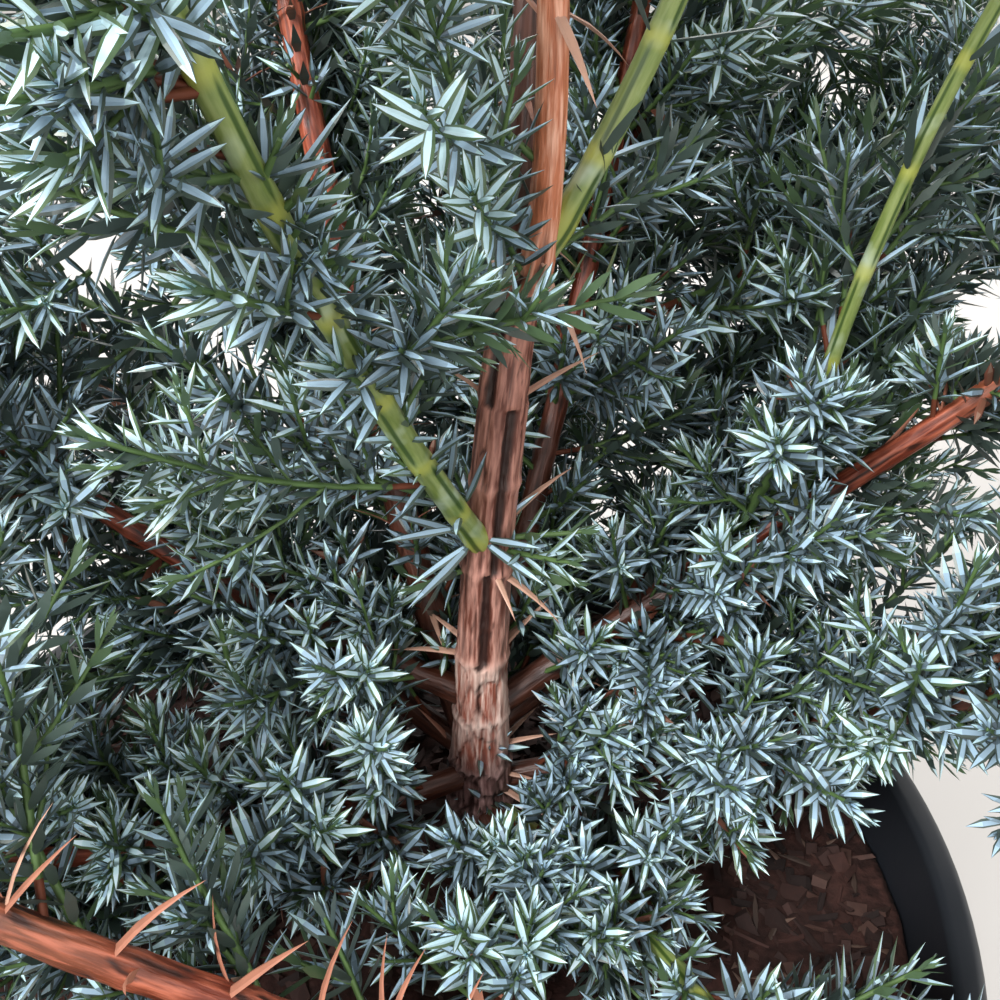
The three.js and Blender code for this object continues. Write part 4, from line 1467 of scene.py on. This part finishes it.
def bark_material(name, stops, pale_stops, dark_colour, shine):
    """Bark whose colour follows its length, its ribs and its furrows."""
    material, net, shader = new_material(name, 0.6, 0.6)
    (pale, dark, share), fibre, patch = bark_sources(net, 0.1, (1700.0, 5.0), (210.0, 4.0))
    # worn is the paler bark colour: on the trunk it is partly painted highlight, and at the boughs' feet
    # both colours are painted shade.
    base, worn = zone_ramp(net, share, stops), zone_ramp(net, share, pale_stops)
    dark_tone = (*dark_colour, 1)
    tone = blended(net, net.ramp(fibre, 0.46, 0.68, 0.0, 0.85), base, worn)
    tone = blended(net, net.maths("MULTIPLY", pale, net.ramp(patch, 0.3, 0.6, 0.35, 1.0)), tone, worn)
    streak = net.maths("MULTIPLY", net.ramp(fibre, 0.46, 0.32, 0.0, 0.5),
                       net.ramp(patch, 0.4, 0.6, 0.2, 1.0))
    tone = blended(net, streak, tone, dark_tone)
    tone = blended(net, net.ramp(dark, 0.1, 0.75, 0.0, 0.96), tone, dark_tone)
    low, high, dull = shine
    gloss = net.ramp(share, low, high, dull, 0.34)
    rough = net.maths("ADD", gloss, net.ramp(patch, 0.3, 0.7, -0.06, 0.1))
    net.tree.links.new(rough, shader.inputs["Roughness"])
    rough_surface(net, shader, tone, 0.9, 0.3, fibre)
    return material


def green_material():
    """Green bark with whitish patches between yellow-green nodes and dark grooves."""
    material, net, shader = new_material("leader_bark", 0.38, 0.5)
    (node, groove, _), fibre, patch = bark_sources(net, 0.14, (1300.0, 4.0), (130.0, 3.0))
    tone = blended(net, net.ramp(fibre, 0.35, 0.65, 0.0, 1.0), (0.14, 0.2, 0.04, 1), (0.27, 0.33, 0.11, 1))
    tone = blended(net, net.ramp(patch, 0.54, 0.66, 0.0, 0.6), tone, (0.5, 0.6, 0.48, 1))
    tone = blended(net, net.ramp(node, 0.25, 0.9, 0.0, 0.7), tone, (0.4, 0.42, 0.08, 1))
    tone = blended(net, net.ramp(groove, 0.1, 0.6, 0.0, 0.9), tone, (0.035, 0.075, 0.012, 1))
    rough_surface(net, shader, tone, 0.4, 0.12, fibre)
    return material


def circle(radius, steps):
    """Points of a circle round the pot's axis, in plan."""
    angles = [TURN * i / steps for i in range(steps)]
    return [(radius * math.cos(angle), radius * math.sin(angle)) for angle in angles]


def pot_outline():
    """The pot's half section, from the middle of its underside round the rim to the middle of its floor."""
    inner_rim = RIM_RADIUS - RIM_WIDTH
    top_wall = inner_rim + POT_WALL

    def wall(z):
        return POT_FOOT_RADIUS + (top_wall - POT_FOOT_RADIUS) * z / POT_HEIGHT

    skirt = POT_HEIGHT - RIM_DEPTH
    outline = [(0, 0), (POT_FOOT_RADIUS - 1.5, 0), (POT_FOOT_RADIUS - 0.4, 0.4), (wall(1.6), 1.6)]
    outline += [(wall(z), z) for z in (30, 60, 90, skirt - 2)]
    outline += [(wall(skirt) + 0.5, skirt - 0.4), (RIM_RADIUS - 0.7, skirt), (RIM_RADIUS, skirt + 0.8)]
    bend = [math.pi / 2 * i / ARC_STEPS for i in range(ARC_STEPS + 1)]
    outline += [(RIM_RADIUS - OUTER_ROUND + OUTER_ROUND * math.cos(angle),
                 POT_HEIGHT - OUTER_ROUND + OUTER_ROUND * math.sin(angle)) for angle in bend]
    outline += [(inner_rim + INNER_ROUND - INNER_ROUND * math.sin(angle),
                 POT_HEIGHT - INNER_ROUND + INNER_ROUND * math.cos(angle)) for angle in bend]
    outline += [(wall(z) - POT_WALL, z) for z in (120, 90, 60, 30, POT_FLOOR + 1)]
    outline += [(wall(POT_FLOOR) - POT_WALL - 1, POT_FLOOR), (0, POT_FLOOR)]
    return outline


def lathe(name, outline, steps):
    """A closed solid turned round Z from a half section in millimetres that starts and ends on the axis."""
    shape = bmesh.new()
    line = [shape.verts.new((r * MM, 0, z * MM)) for r, z in outline]
    edges = [shape.edges.new(pair) for pair in zip(line, line[1:])]
    bmesh.ops.spin(shape, geom=line + edges, cent=(0, 0, 0), axis=(0, 0, 1), angle=TURN, steps=steps,
                   use_merge=True)
    bmesh.ops.remove_doubles(shape, verts=shape.verts, dist=1e-6)
    return new_object(name, shape_mesh(shape, name))


def drill(target, places, radius, depth):
    """Cuts round holes through an object along Z."""
    shape = bmesh.new()
    for x, y in places:
        matrix = Matrix.Translation((x * MM, y * MM, 0))
        bmesh.ops.create_cone(shape, cap_ends=True, segments=24, radius1=radius * MM, radius2=radius * MM,
                              depth=depth * MM, matrix=matrix)
    cutter = new_object("drill", shape_mesh(shape, "drill"))
    cut = target.modifiers.new("Drain holes", "BOOLEAN")
    cut.object = cutter
    cut.solver = "EXACT"
    graph = bpy.context.evaluated_depsgraph_get()
    result = bpy.data.meshes.new_from_object(target.evaluated_get(graph), depsgraph=graph)
    target.modifiers.remove(cut)
    target.data = result
    bpy.data.objects.remove(cutter)


def add_lamp(scene, name, place, size, power):
    """A soft square lamp that shines on the middle of the plant."""
    light = bpy.data.lights.new(name, "AREA")
    light.size = size
    light.energy = power
    lamp = bpy.data.objects.new(name, light)
    lamp.location = place
    aim = Vector(PLANT_MIDDLE) - Vector(place)
    lamp.rotation_euler = aim.to_track_quat("-Z", "Y").to_euler()
    scene.collection.objects.link(lamp)


def add_camera(scene):
    """The camera of the reference view."""
    lens = bpy.data.cameras.new("camera")
    lens.sensor_width = SENSOR
    lens.lens = SENSOR
    lens.clip_start = NEAREST_SEEN
    camera = bpy.data.objects.new("camera", lens)
    camera.location = Vector(EYE) * MM
    camera.rotation_euler = (math.radians(90 - EYE_TILT), 0, 0)
    scene.collection.objects.link(camera)
    scene.camera = camera


class JUNIPER_OT_stage(Operator):
    """Makes the floor, the soft light and the camera"""

    bl_idname = "juniper.stage"
    bl_label = "Floor, light and camera"

    def execute(self, context):
        scene = context.scene
        mesh = bpy.data.meshes.new("floor")
        corners = [(-1, -1), (1, -1), (1, 1), (-1, 1)]
        mesh.from_pydata([(x * FLOOR_HALF, y * FLOOR_HALF, 0) for x, y in corners], [], [(0, 1, 2, 3)])
        mesh.materials.append(mottled_material("floor", FLOOR_COLOUR, 0.7, 0.03, 3.0))
        new_object("floor", mesh)
        scene.world = bpy.data.worlds.new("studio")
        scene.world.use_nodes = True
        sky = scene.world.node_tree.nodes["Background"]
        sky.inputs["Color"].default_value = SKY_COLOUR
        sky.inputs["Strength"].default_value = SKY_STRENGTH
        scene.view_settings.view_transform = "Standard"
        scene.view_settings.look = "None"
        for lamp in LAMPS:
            add_lamp(scene, *lamp)
        add_camera(scene)
        return {"FINISHED"}


def pot_material(finish):
    """Black plastic with a fine grain and a little dust."""
    material, net, shader = new_material("pot_plastic", 0.42, 0.5)
    dust = object_noise(net, 55.0, 4.0)
    clean = (*finish.plastic, 1)
    tone = blended(net, net.ramp(dust, 0.45, 0.85, 0.0, 0.2), clean, (0.06, 0.055, 0.05, 1))
    net.tree.links.new(net.ramp(dust, 0.3, 0.75, 0.38, 0.5), shader.inputs["Roughness"])
    rough_surface(net, shader, tone, 0.15, 0.1, object_noise(net, 900.0, 3.0))
    return material


class JUNIPER_OT_pot(Operator):
    """Turns the nursery pot with its rolled rim and drills its drain holes"""

    bl_idname = "juniper.pot"
    bl_label = "Pot"

    def execute(self, context):
        pot = lathe("nursery_pot", pot_outline(), 128)
        drill(pot, circle(DRAIN_CIRCLE, DRAIN_HOLES), DRAIN_RADIUS, 3 * POT_FLOOR)
        pot.data.materials.clear()
        pot.data.materials.append(pot_material(context.scene.juniper_finish))
        shade_smooth(pot.data)
        pot.data.set_sharp_from_angle(angle=math.radians(35))
        hand_over(pot, "pot_plastic", "pot")
        return {"FINISHED"}


def compost_height(x, y):
    """Height of the compost's uneven surface, in metres above its level."""
    spot = Vector((x, y, 0)) / MM
    lumps = noise.noise(spot * 0.045) * 1.6 + noise.noise(spot * 0.16) * 0.9
    lumps += noise.noise(spot * 0.5) * 0.45
    foot = Vector((x - TRUNK_FOOT[0] * MM, y - TRUNK_FOOT[1] * MM)).length
    return (lumps + 1.2 * math.exp(-foot / (9 * MM))) * MM


def compost_rings(radius, rings, steps):
    """Rings of points on the compost's uneven surface, from the middle out."""
    made = []
    for i in range(1, rings + 1):
        ring = circle(radius * MM * i / rings, steps)
        made.append([(x, y, COMPOST_TOP * MM + compost_height(x, y)) for x, y in ring])
    return made


def compost_body():
    """The filling: an uneven top, and sides that stand clear of the pot's wall."""
    steps = 150
    top_radius = (RIM_RADIUS - RIM_WIDTH - LEVEL_NARROWER) - COMPOST_CLEAR
    foot_radius = POT_FOOT_RADIUS - POT_WALL - COMPOST_CLEAR
    shape = bmesh.new()
    middle = shape.verts.new((0, 0, COMPOST_TOP * MM + compost_height(0, 0)))
    previous = None
    for points in compost_rings(top_radius, 78, steps):
        ring = [shape.verts.new(point) for point in points]
        for j in range(steps):
            k = (j + 1) % steps
            if previous is None:
                shape.faces.new((middle, ring[j], ring[k]))
            else:
                shape.faces.new((previous[j], ring[j], ring[k], previous[k]))
        previous = ring
    low = (POT_FLOOR + COMPOST_CLEAR) * MM
    foot = [shape.verts.new((x, y, low)) for x, y in circle(foot_radius * MM, steps)]
    for j in range(steps):
        k = (j + 1) % steps
        shape.faces.new((previous[j], foot[j], foot[k], previous[k]))
    shape.faces.new(list(reversed(foot)))
    mesh = shape_mesh(shape, "compost_body")
    shade_smooth(mesh)
    return new_object("compost_body", mesh)


def compost_ground(name):
    """The compost's surface alone, as a grid of points inside the pot's rim."""
    rings, steps = 40, 90
    radius = RIM_RADIUS - RIM_WIDTH - LITTER_CLEAR
    points = [point for ring in compost_rings(radius, rings, steps) for point in ring]
    faces = []
    for low in range(0, (rings - 1) * steps, steps):
        for j in range(steps):
            k = (j + 1) % steps
            faces.append((low + j, low + steps + j, low + steps + k, low + k))
    mesh = bpy.data.meshes.new(name)
    mesh.from_pydata(points, [], faces)
    return new_object(name, mesh)


def chip_mesh(name, size, seed):
    """A splinter of bark: a flat, uneven slab with broken ends, of a size in millimetres."""
    rng = random.Random(seed)
    shape = bmesh.new()
    bmesh.ops.create_cube(shape, size=1.0)
    for vertex in shape.verts:
        vertex.co.x *= size[0] * MM * rng.uniform(0.75, 1.15)
        vertex.co.y *= size[1] * MM * rng.uniform(0.55, 1.2)
        vertex.co.z *= size[2] * MM * rng.uniform(0.5, 1.3)
    bmesh.ops.triangulate(shape, faces=shape.faces)
    return shape_mesh(shape, name)


def litter_tree(materials):
    """The modifier that strews loose pieces over a surface, lying at all angles."""
    net, given, leave = new_geometry_tree("Litter", {
        "Piece": "Object", "Second piece": "Object", "Per square metre": "Float", "Smallest": "Float",
        "Largest": "Float", "Tilt": "Float", "Seed": "Int",
    })
    points = net.add("GeometryNodeDistributePointsOnFaces", {
        "Mesh": given["Geometry"], "Density": given["Per square metre"], "Seed": given["Seed"],
    }).outputs["Points"]
    lean = [net.maths("MULTIPLY", given["Tilt"], net.chance(-1.0, 1.0, seed)) for seed in (11, 12)]
    angles = {"X": lean[0], "Y": lean[1], "Z": net.chance(0.0, TURN, 13)}
    euler = net.add("ShaderNodeCombineXYZ", angles).outputs["Vector"]
    rotation = net.add("FunctionNodeEulerToRotation", {"Euler": euler}).outputs["Rotation"]
    size = net.chance(given["Smallest"], given["Largest"], 14)
    shapes = (given["Piece"], given["Second piece"])
    strewn = net.either(points, shapes, net.chance(0.0, 1.0, 15), rotation, size)
    strewn = net.real(net.store(strewn, "tint", net.chance(0.0, 1.0, 16), domain="INSTANCE"))
    strewn = net.worn(strewn, materials[0])
    for index, material in enumerate(materials[1:], 1):
        chosen = net.maths("GREATER_THAN", net.named("tint"), index / len(materials))
        strewn = net.worn(strewn, material, chosen)
    net.tree.links.new(strewn, leave)
    return net.tree


def strew(name, shapes, materials, settings):
    """Loose pieces of two shapes strewn over the compost."""
    helpers = [helper_object(mesh.name, mesh) for mesh in shapes]
    values = {"Piece": helpers[0], "Second piece": helpers[1], **settings}
    made = run_tree(compost_ground(name + "_ground"), litter_tree(materials), values, name)
    for helper in helpers:
        bpy.data.objects.remove(helper)
    hand_over(made, "compost")


def compost_material(dark):
    """Dark crumbs with paler ones between them and darker patches."""
    material, net, shader = new_material("compost", 0.9, 0.25)
    crumbs = object_noise(net, 420.0, 6.0)
    tone = blended(net, net.ramp(crumbs, 0.4, 0.75, 0.0, 1.0), (*dark, 1), shade(dark, 3.2))
    patches = net.ramp(object_noise(net, 60.0, 3.0), 0.4, 0.7, 0.0, 0.6)
    rough_surface(net, shader, blended(net, patches, tone, shade(dark, 0.5)), 1.0, 0.8, crumbs)
    return material


def strew_chips(dark):
    """Strews splinters of bark over the compost."""
    looks = [
        ("chip_black", shade(dark, 0.5), 0.9), ("chip_dark", dark, 0.85),
        ("chip_brown", (0.03, 0.011, 0.008), 0.8), ("chip_red", (0.04, 0.014, 0.01), 0.8),
        ("chip_tan", (0.048, 0.021, 0.015), 0.8),
    ]
    materials = [mottled_material(name, colour, rough, 0.4, 700.0) for name, colour, rough in looks]
    shapes = [chip_mesh("slab", (4.0, 2.2, 1.2), 3), chip_mesh("splinter", (6.5, 0.9, 0.8), 5)]
    strew("bark_chips", shapes, materials, {
        "Per square metre": 130000.0, "Smallest": 0.3, "Largest": 1.25, "Tilt": 0.6, "Seed": 4,
    })


def strew_needles(dead):
    """Strews dry needles over the compost, lying flat."""
    materials = [mottled_material("fallen_needle", dead * 0.15, 0.6, 0.3, 500.0),
                 mottled_material("fallen_needle_dark", dead * 0.06, 0.6, 0.3, 500.0)]
    shapes = [needle_mesh("fallen", 8 * MM, 1.1 * MM, "middle", 0.18),
              needle_mesh("fallen_straight", 6.5 * MM, 1.0 * MM, "middle")]
    for mesh in shapes:
        mesh.transform(Matrix.Rotation(math.pi / 2, 4, "Y") @ Matrix.Translation((0, 0, -3 * MM)))
    strew("fallen_needles", shapes, materials, {
        "Per square metre": 26000.0, "Smallest": 0.7, "Largest": 1.15, "Tilt": 0.45, "Seed": 9,
    })


class JUNIPER_OT_compost(Operator):
    """Fills the pot with bark compost and strews chips and dry needles over it"""

    bl_idname = "juniper.compost"
    bl_label = "Compost"

    def execute(self, context):
        finish = context.scene.juniper_finish
        dark = tuple(finish.compost)
        body = compost_body()
        body.data.materials.append(compost_material(dark))
        hand_over(body, "compost", "compost")
        strew_chips(dark)
        strew_needles(Vector(finish.dead))
        return {"FINISHED"}


# Colours of the bark where it is darker and where it is pale, by the share of the limb's length. The trunk's
# near-white pale colours are partly paler bark and partly painted highlight
TRUNK_STOPS = [
    (0.0, (0.07, 0.03, 0.027)), (0.05, (0.13, 0.055, 0.05)), (0.07, (0.34, 0.1, 0.065)),
    (0.13, (0.36, 0.1, 0.06)), (0.14, (0.16, 0.045, 0.026)), (0.2, (0.13, 0.036, 0.022)),
    (0.335, (0.13, 0.032, 0.018)), (0.365, (0.6, 0.19, 0.085)), (0.6, (0.42, 0.13, 0.06)),
    (1.0, (0.22, 0.27, 0.08)),
]
TRUNK_PALE_AND_HIGHLIGHT_STOPS = [
    (0.0, (0.26, 0.15, 0.14)), (0.05, (0.5, 0.31, 0.29)), (0.07, (0.88, 0.64, 0.56)),
    (0.13, (0.92, 0.7, 0.6)), (0.14, (0.74, 0.4, 0.32)), (0.2, (0.66, 0.33, 0.26)),
    (0.335, (0.6, 0.27, 0.2)), (0.37, (0.96, 0.52, 0.37)), (1.0, (0.55, 0.38, 0.2)),
]
BOUGH_STOPS = [
    (0.42, (0.17, 0.028, 0.012)), (0.6, (0.2, 0.034, 0.014)), (0.8, (0.18, 0.1, 0.045)),
    (1.0, (0.17, 0.22, 0.07)),
]
# Near the foot of the ramp these pale colours stay dark, as painted shade of the crown.
BOUGH_PALE_STOPS = [
    (0.0, (0.12, 0.05, 0.035)), (0.26, (0.16, 0.06, 0.04)), (0.42, (0.56, 0.14, 0.075)),
    (0.7, (0.6, 0.18, 0.1)), (1.0, (0.36, 0.36, 0.15)),
]


def skin_trunk():
    """The trunk's bark."""
    trunk = BarkBuilder()
    skin_limb(trunk, ROUTES["trunk"], trunk_radius, trunk_relief, 76, 0.62 * MM, 1.0)
    material = bark_material("trunk_bark", TRUNK_STOPS, TRUNK_PALE_AND_HIGHLIGHT_STOPS, (0.022, 0.007, 0.005),
                             (0.3, 0.38, 0.44))
    hand_over(trunk.build("trunk_bark", material), "bark", "trunk")


def skin_boughs(bark):
    """The bark of the brown boughs and stems."""
    boughs = BarkBuilder()
    brown = [name for name in LIMBS if name not in GREEN_LIMBS]
    for index, name in enumerate(brown):
        ages = BOUGH_AGES_AND_SHADE.get(name, (0.0, 1.0))
        skin_limb(boughs, ROUTES[name], limb_radius(name), bough_relief, 24, 1.2 * MM, index + 2.0, ages)
    # The dark colours at the boughs' feet are painted shade of the crown.
    stops = [(0.0, shade(bark, 0.14)[:3]), (0.26, shade(bark, 0.2)[:3]), *BOUGH_STOPS]
    material = bark_material("bough_bark", stops, BOUGH_PALE_STOPS, (0.035, 0.01, 0.006), (0.0, 0.8, 0.44))
    hand_over(boughs.build("bough_bark", material), "bark", *brown)


def skin_leaders():
    """The bark of the green wood."""
    leaders = BarkBuilder()
    for index, name in enumerate(GREEN_LIMBS):
        seed = 0.9 + index * 0.7
        skin_limb(leaders, ROUTES[name], limb_radius(name), green_relief, 42, 1.0 * MM, seed)
    hand_over(leaders.build("leader_bark", green_material()), "green_stem", *GREEN_LIMBS)


class JUNIPER_OT_wood(Operator):
    """Covers the trunk, the boughs and the green leaders with bark"""

    bl_idname = "juniper.wood"
    bl_label = "Trunk and boughs"

    def execute(self, context):
        skin_trunk()
        skin_boughs(tuple(context.scene.juniper_finish.bark))
        skin_leaders()
        return {"FINISHED"}


class SingleNeedles:
    """Needles that stand on wood one by one: place, direction, upper side, size and age."""

    def __init__(self):
        self.places, self.ways, self.faces, self.sizes, self.tints = [], [], [], [], []

    def add(self, place, aim, face, size, tint):
        """Adds one needle."""
        self.places.append(place)
        self.ways.append(aim)
        self.faces.append(face)
        self.sizes.append(size)
        self.tints.append(float(tint))

    def stand(self, name, along, angle, lean, size, tint):
        """Adds a needle on a limb's surface, at an angle round it and a lean from the limb's direction."""
        route = ROUTES[name]
        way = route.way(along)
        out = round_wood(way, angle)
        aim = (way * math.cos(lean) + out * math.sin(lean)).normalized()
        place = route.at(along) + out * wood_radius(name)(along) * 0.9
        self.add(place, aim, way * math.sin(lean) - out * math.cos(lean), size, tint)

    def point(self, name, distance, heading, rise, size, tint):
        """Adds a needle some millimetres along a limb that points in a direction of its own."""
        route = ROUTES[name]
        along = distance * MM / route.length
        way = route.way(along)
        aim = direction(heading, rise)
        out = (aim - way * aim.dot(way)).normalized()
        place = route.at(along) + out * wood_radius(name)(along) * 0.85
        self.add(place, aim, (way - aim * way.dot(aim)).normalized(), size, tint)

    def build(self, name, shapes, materials, seed):
        """The needles as one piece, each of one of two shapes."""
        mesh = bpy.data.meshes.new(name + "_spots")
        mesh.from_pydata(self.places, [], [])
        store_vectors(mesh, "way", self.ways)
        store_vectors(mesh, "face", self.faces)
        store_numbers(mesh, "size", self.sizes)
        store_numbers(mesh, "tint", self.tints)
        values = {"Needle": shapes[0], "Straight needle": shapes[1], "Seed": seed}
        piece = run_tree(new_object(mesh.name, mesh), single_tree(materials), values, name)
        keep_only_shape(piece.data)
        return piece


def wood_radius(name):
    """A function that gives the radius of the trunk or of a limb at a fraction of its length."""
    return trunk_radius if name == "trunk" else limb_radius(name)


def single_tree(materials):
    """The modifier that sets one needle on each point."""
    net, given, leave = new_geometry_tree("Single needles", {
        "Needle": "Object", "Straight needle": "Object", "Seed": "Int",
    })
    points = net.add("GeometryNodeMeshToPoints", {"Mesh": given["Geometry"]}).outputs["Points"]
    axes = net.add("FunctionNodeAxesToRotation", {
        "Primary Axis": net.named("way", "FLOAT_VECTOR"),
        "Secondary Axis": net.named("face", "FLOAT_VECTOR"),
    }, primary_axis="Z", secondary_axis="X").outputs["Rotation"]
    turned = net.turned(axes, (0, 0, 1), math.pi)
    pick = net.chance(0.0, 1.0, net.maths("ADD", given["Seed"], 4.0))
    shapes = (given["Straight needle"], given["Needle"])
    needles = net.either(points, shapes, pick, turned, net.named("size"))
    net.tree.links.new(coloured_needles(net, net.real(needles), materials), leave)
    return net.tree


def keep_only_shape(mesh):
    """Drops the attributes that only the modifiers needed."""
    for name in ("to_tip", "thick", "vigour", "tint", "turn", "part", "woody", "way", "face", "size"):
        if name in mesh.attributes:
            mesh.attributes.remove(mesh.attributes[name])


def leader_needles(seed):
    """The large needles that stand in threes on the green wood."""
    singles = SingleNeedles()
    for row in LARGE_NEEDLES:
        singles.point("leader_left", *row)
    for name in GREEN_LIMBS:
        rng = random.Random(f"{seed} leader {name}")
        length = ROUTES[name].length
        for index in range(int(length / LEADER_NODE_GAP) + 1):
            along = max(0.03, index * LEADER_NODE_GAP / length)
            for third in range(3):
                if rng.random() < LEADER_MISSING_SHARE:
                    continue
                angle = index * math.pi / 3 + third * TURN / 3 + rng.uniform(-0.25, 0.25)
                lean = math.radians(rng.uniform(34, 66) if index else rng.uniform(60, 104))
                size = rng.uniform(0.8, 1.1)
                singles.stand(name, along, angle, lean, size, rng.choice((OLD, GROWN, GROWN)))
    return singles


def dry_tones(dead):
    """Colours of dry needles on the wood, from the oldest to the palest."""
    red = dead * Vector((0.85, 0.62, 0.55))
    tones = (red * 0.35, red * 0.5, red * 0.75, dead * 0.85)
    return [mottled_material(f"dry_needle_{i}", tone, 0.5, 0.3, 400.0) for i, tone in enumerate(tones)]


def stand_dry_needles(dry, name, nodes, rng):
    """Adds dry needles in threes at a limb's nodes, apart from the side of the trunk that the view sees."""
    for index, distance in enumerate(nodes):
        for third in range(3):
            angle = index * math.pi / 3 + third * TURN / 3 + rng.uniform(-0.3, 0.3)
            seen = name == "trunk" and math.cos(angle - math.pi) > 0.2
            if seen or rng.random() > DRY_KEPT_SHARE:
                continue
            along = distance / ROUTES[name].length
            lean = math.radians(rng.uniform(35, 120))
            tint = rng.choice((FRESH, DRY, DRY))
            dry.stand(name, along, angle, lean, rng.uniform(0.7, 1.15), tint)


class JUNIPER_OT_dry_needles(Operator):
    """Leaves dry needles at the nodes of the trunk and the boughs"""

    bl_idname = "juniper.dry_needles"
    bl_label = "Dry needles on the wood"

    def execute(self, context):
        rng = random.Random(f"{context.scene.juniper_plant.seed} dry")
        dry = SingleNeedles()
        for row in TRUNK_DRY_NEEDLES:
            dry.point("trunk", *row, DRY)
        for name, rows in BOUGH_DRY_NEEDLES.items():
            for row in rows:
                dry.point(name, *row, FRESH)
        stand_dry_needles(dry, "trunk", TRUNK_NODE_PLACES, rng)
        for name in DRY_LIMBS:
            count = int(0.75 * ROUTES[name].length / BOUGH_NODE_GAP)
            stand_dry_needles(dry, name, [i * BOUGH_NODE_GAP for i in range(1, count)], rng)
        awls = [helper_object("dry_bent", needle_mesh("dry_bent", 10 * MM, 1.4 * MM, "dry", 0.22)),
                helper_object("dry_straight", needle_mesh("dry_straight", 9.5 * MM, 1.3 * MM, "dry", 0.08))]
        pale = dry_tones(Vector(context.scene.juniper_finish.dead))
        hand_over(dry.build("dry_needles", awls, [pale] * 4, 31), "bark")
        for awl in awls:
            bpy.data.objects.remove(awl)
        return {"FINISHED"}


def needle_shapes(plant):
    """Helper objects of a bent and a straight needle, by how finely they are made."""
    made = {}
    for grade in ("close", "middle", "far", "leader"):
        length, width = plant.needle_length, plant.needle_width
        if grade == "leader":
            length, width = plant.leader_needle_length, 1.1 * plant.needle_width
        names = {f"{grade}_bent": 0.06, f"{grade}_straight": -0.08}
        made[grade] = [helper_object(name, needle_mesh(name, length, width, grade, curl))
                       for name, curl in names.items()]
    return made


def grown_groups(plant):
    """The shoots of every piece of needles: how fine they are, the nodes they stand for and the shoots."""
    view, wood = View(), Wood()
    groups = {}
    for name, (fill, grade, nodes) in NEEDLE_PIECES.items():
        grower = Grower(plant, view, wood, fill, name)
        for node in nodes:
            grower.grow_mass(node)
        groups[name] = (grade, nodes, grower.shoots)
    for zone in FILL_ZONES:
        grower = Grower(plant, view, wood, 1.0, zone)
        grower.grow_fill(zone)
        groups["needles_" + zone] = ("far" if zone in FAR_ZONES else "middle", (), grower.shoots)
    for name, grade in (("needles_near_sprigs", "close"), ("needles_sprigs", "middle")):
        grower = Grower(plant, view, wood, 1.0, name)
        grower.grow_sprigs(near=grade == "close")
        groups[name] = (grade, (), grower.shoots)
    grower = Grower(plant, view, wood, 1.1, "needles_inner")
    grower.grow_leafy_wood()
    groups["needles_inner"] = ("middle", (), grower.shoots)
    return groups


def skin_twigs(finish, shoots):
    """The round axes of all shoots as one piece."""
    green = mottled_material("shoot_axis", Vector(finish.fresh) * 0.5, 0.55, 0.35)
    brown = mottled_material("twig_bark", Vector(finish.bark) * 0.3, 0.7, 0.35)
    skins = run_tree(twig_lines("twig_lines", shoots), twig_tree(green, brown), {"Sides": 4}, "twigs")
    keep_only_shape(skins.data)
    shade_smooth(skins.data)
    hand_over(skins, "green_stem")


class JUNIPER_OT_foliage(Operator):
    """Grows the shoots of every mass, with their twigs and needles"""

    bl_idname = "juniper.foliage"
    bl_label = "Foliage"

    def execute(self, context):
        plant, finish = context.scene.juniper_plant, context.scene.juniper_finish
        leaves = leaf_materials(finish)
        tree = needle_tree(leaves)
        shapes = needle_shapes(plant)
        groups = grown_groups(plant)
        for index, (name, (grade, nodes, shoots)) in enumerate(groups.items()):
            bent, straight = shapes[grade]
            piece = run_tree(whorl_lines(name + "_lines", shoots), tree, {
                "Needle": bent, "Straight needle": straight, "Spread": plant.needle_spread,
                "Seed": 100 * index,
            }, name)
            keep_only_shape(piece.data)
            hand_over(piece, "needles", *nodes)
        singles = leader_needles(plant.seed)
        hand_over(singles.build("needles_on_leaders", shapes["leader"], leaves, 77), "needles")
        skin_twigs(finish, [shoot for _, _, shoots in groups.values() for shoot in shoots])
        for helper in (helper for pair in shapes.values() for helper in pair):
            bpy.data.objects.remove(helper)
        return {"FINISHED"}


class JUNIPER_PT_sidebar(Panel):
    """Lists the steps that make the plant"""

    bl_idname = "JUNIPER_PT_sidebar"
    bl_label = "Juniper"
    bl_space_type = "VIEW_3D"
    bl_region_type = "UI"
    bl_category = "Juniper"

    def draw(self, context):
        for settings in (context.scene.juniper_plant, context.scene.juniper_finish):
            for key in settings.__annotations__:
                self.layout.prop(settings, key)
        for step in STEPS:
            self.layout.operator(step.bl_idname)


STEPS = (JUNIPER_OT_stage, JUNIPER_OT_pot, JUNIPER_OT_compost, JUNIPER_OT_wood, JUNIPER_OT_dry_needles,
         JUNIPER_OT_foliage)
CLASSES = (PlantSettings, FinishSettings, *STEPS, JUNIPER_PT_sidebar)


def register():
    """Makes the classes and their settings known to Blender."""
    for cls in CLASSES:
        bpy.utils.register_class(cls)
    bpy.types.Scene.juniper_plant = PointerProperty(type=PlantSettings)
    bpy.types.Scene.juniper_finish = PointerProperty(type=FinishSettings)


def unregister():
    """Takes them away again."""
    del bpy.types.Scene.juniper_finish
    del bpy.types.Scene.juniper_plant
    for cls in reversed(CLASSES):
        bpy.utils.unregister_class(cls)


def main():
    """Makes the whole scene."""
    register()
    bpy.ops.juniper.stage()
    bpy.ops.juniper.pot()
    bpy.ops.juniper.compost()
    bpy.ops.juniper.wood()
    bpy.ops.juniper.dry_needles()
    bpy.ops.juniper.foliage()


if __name__ == "__main__":
    main()
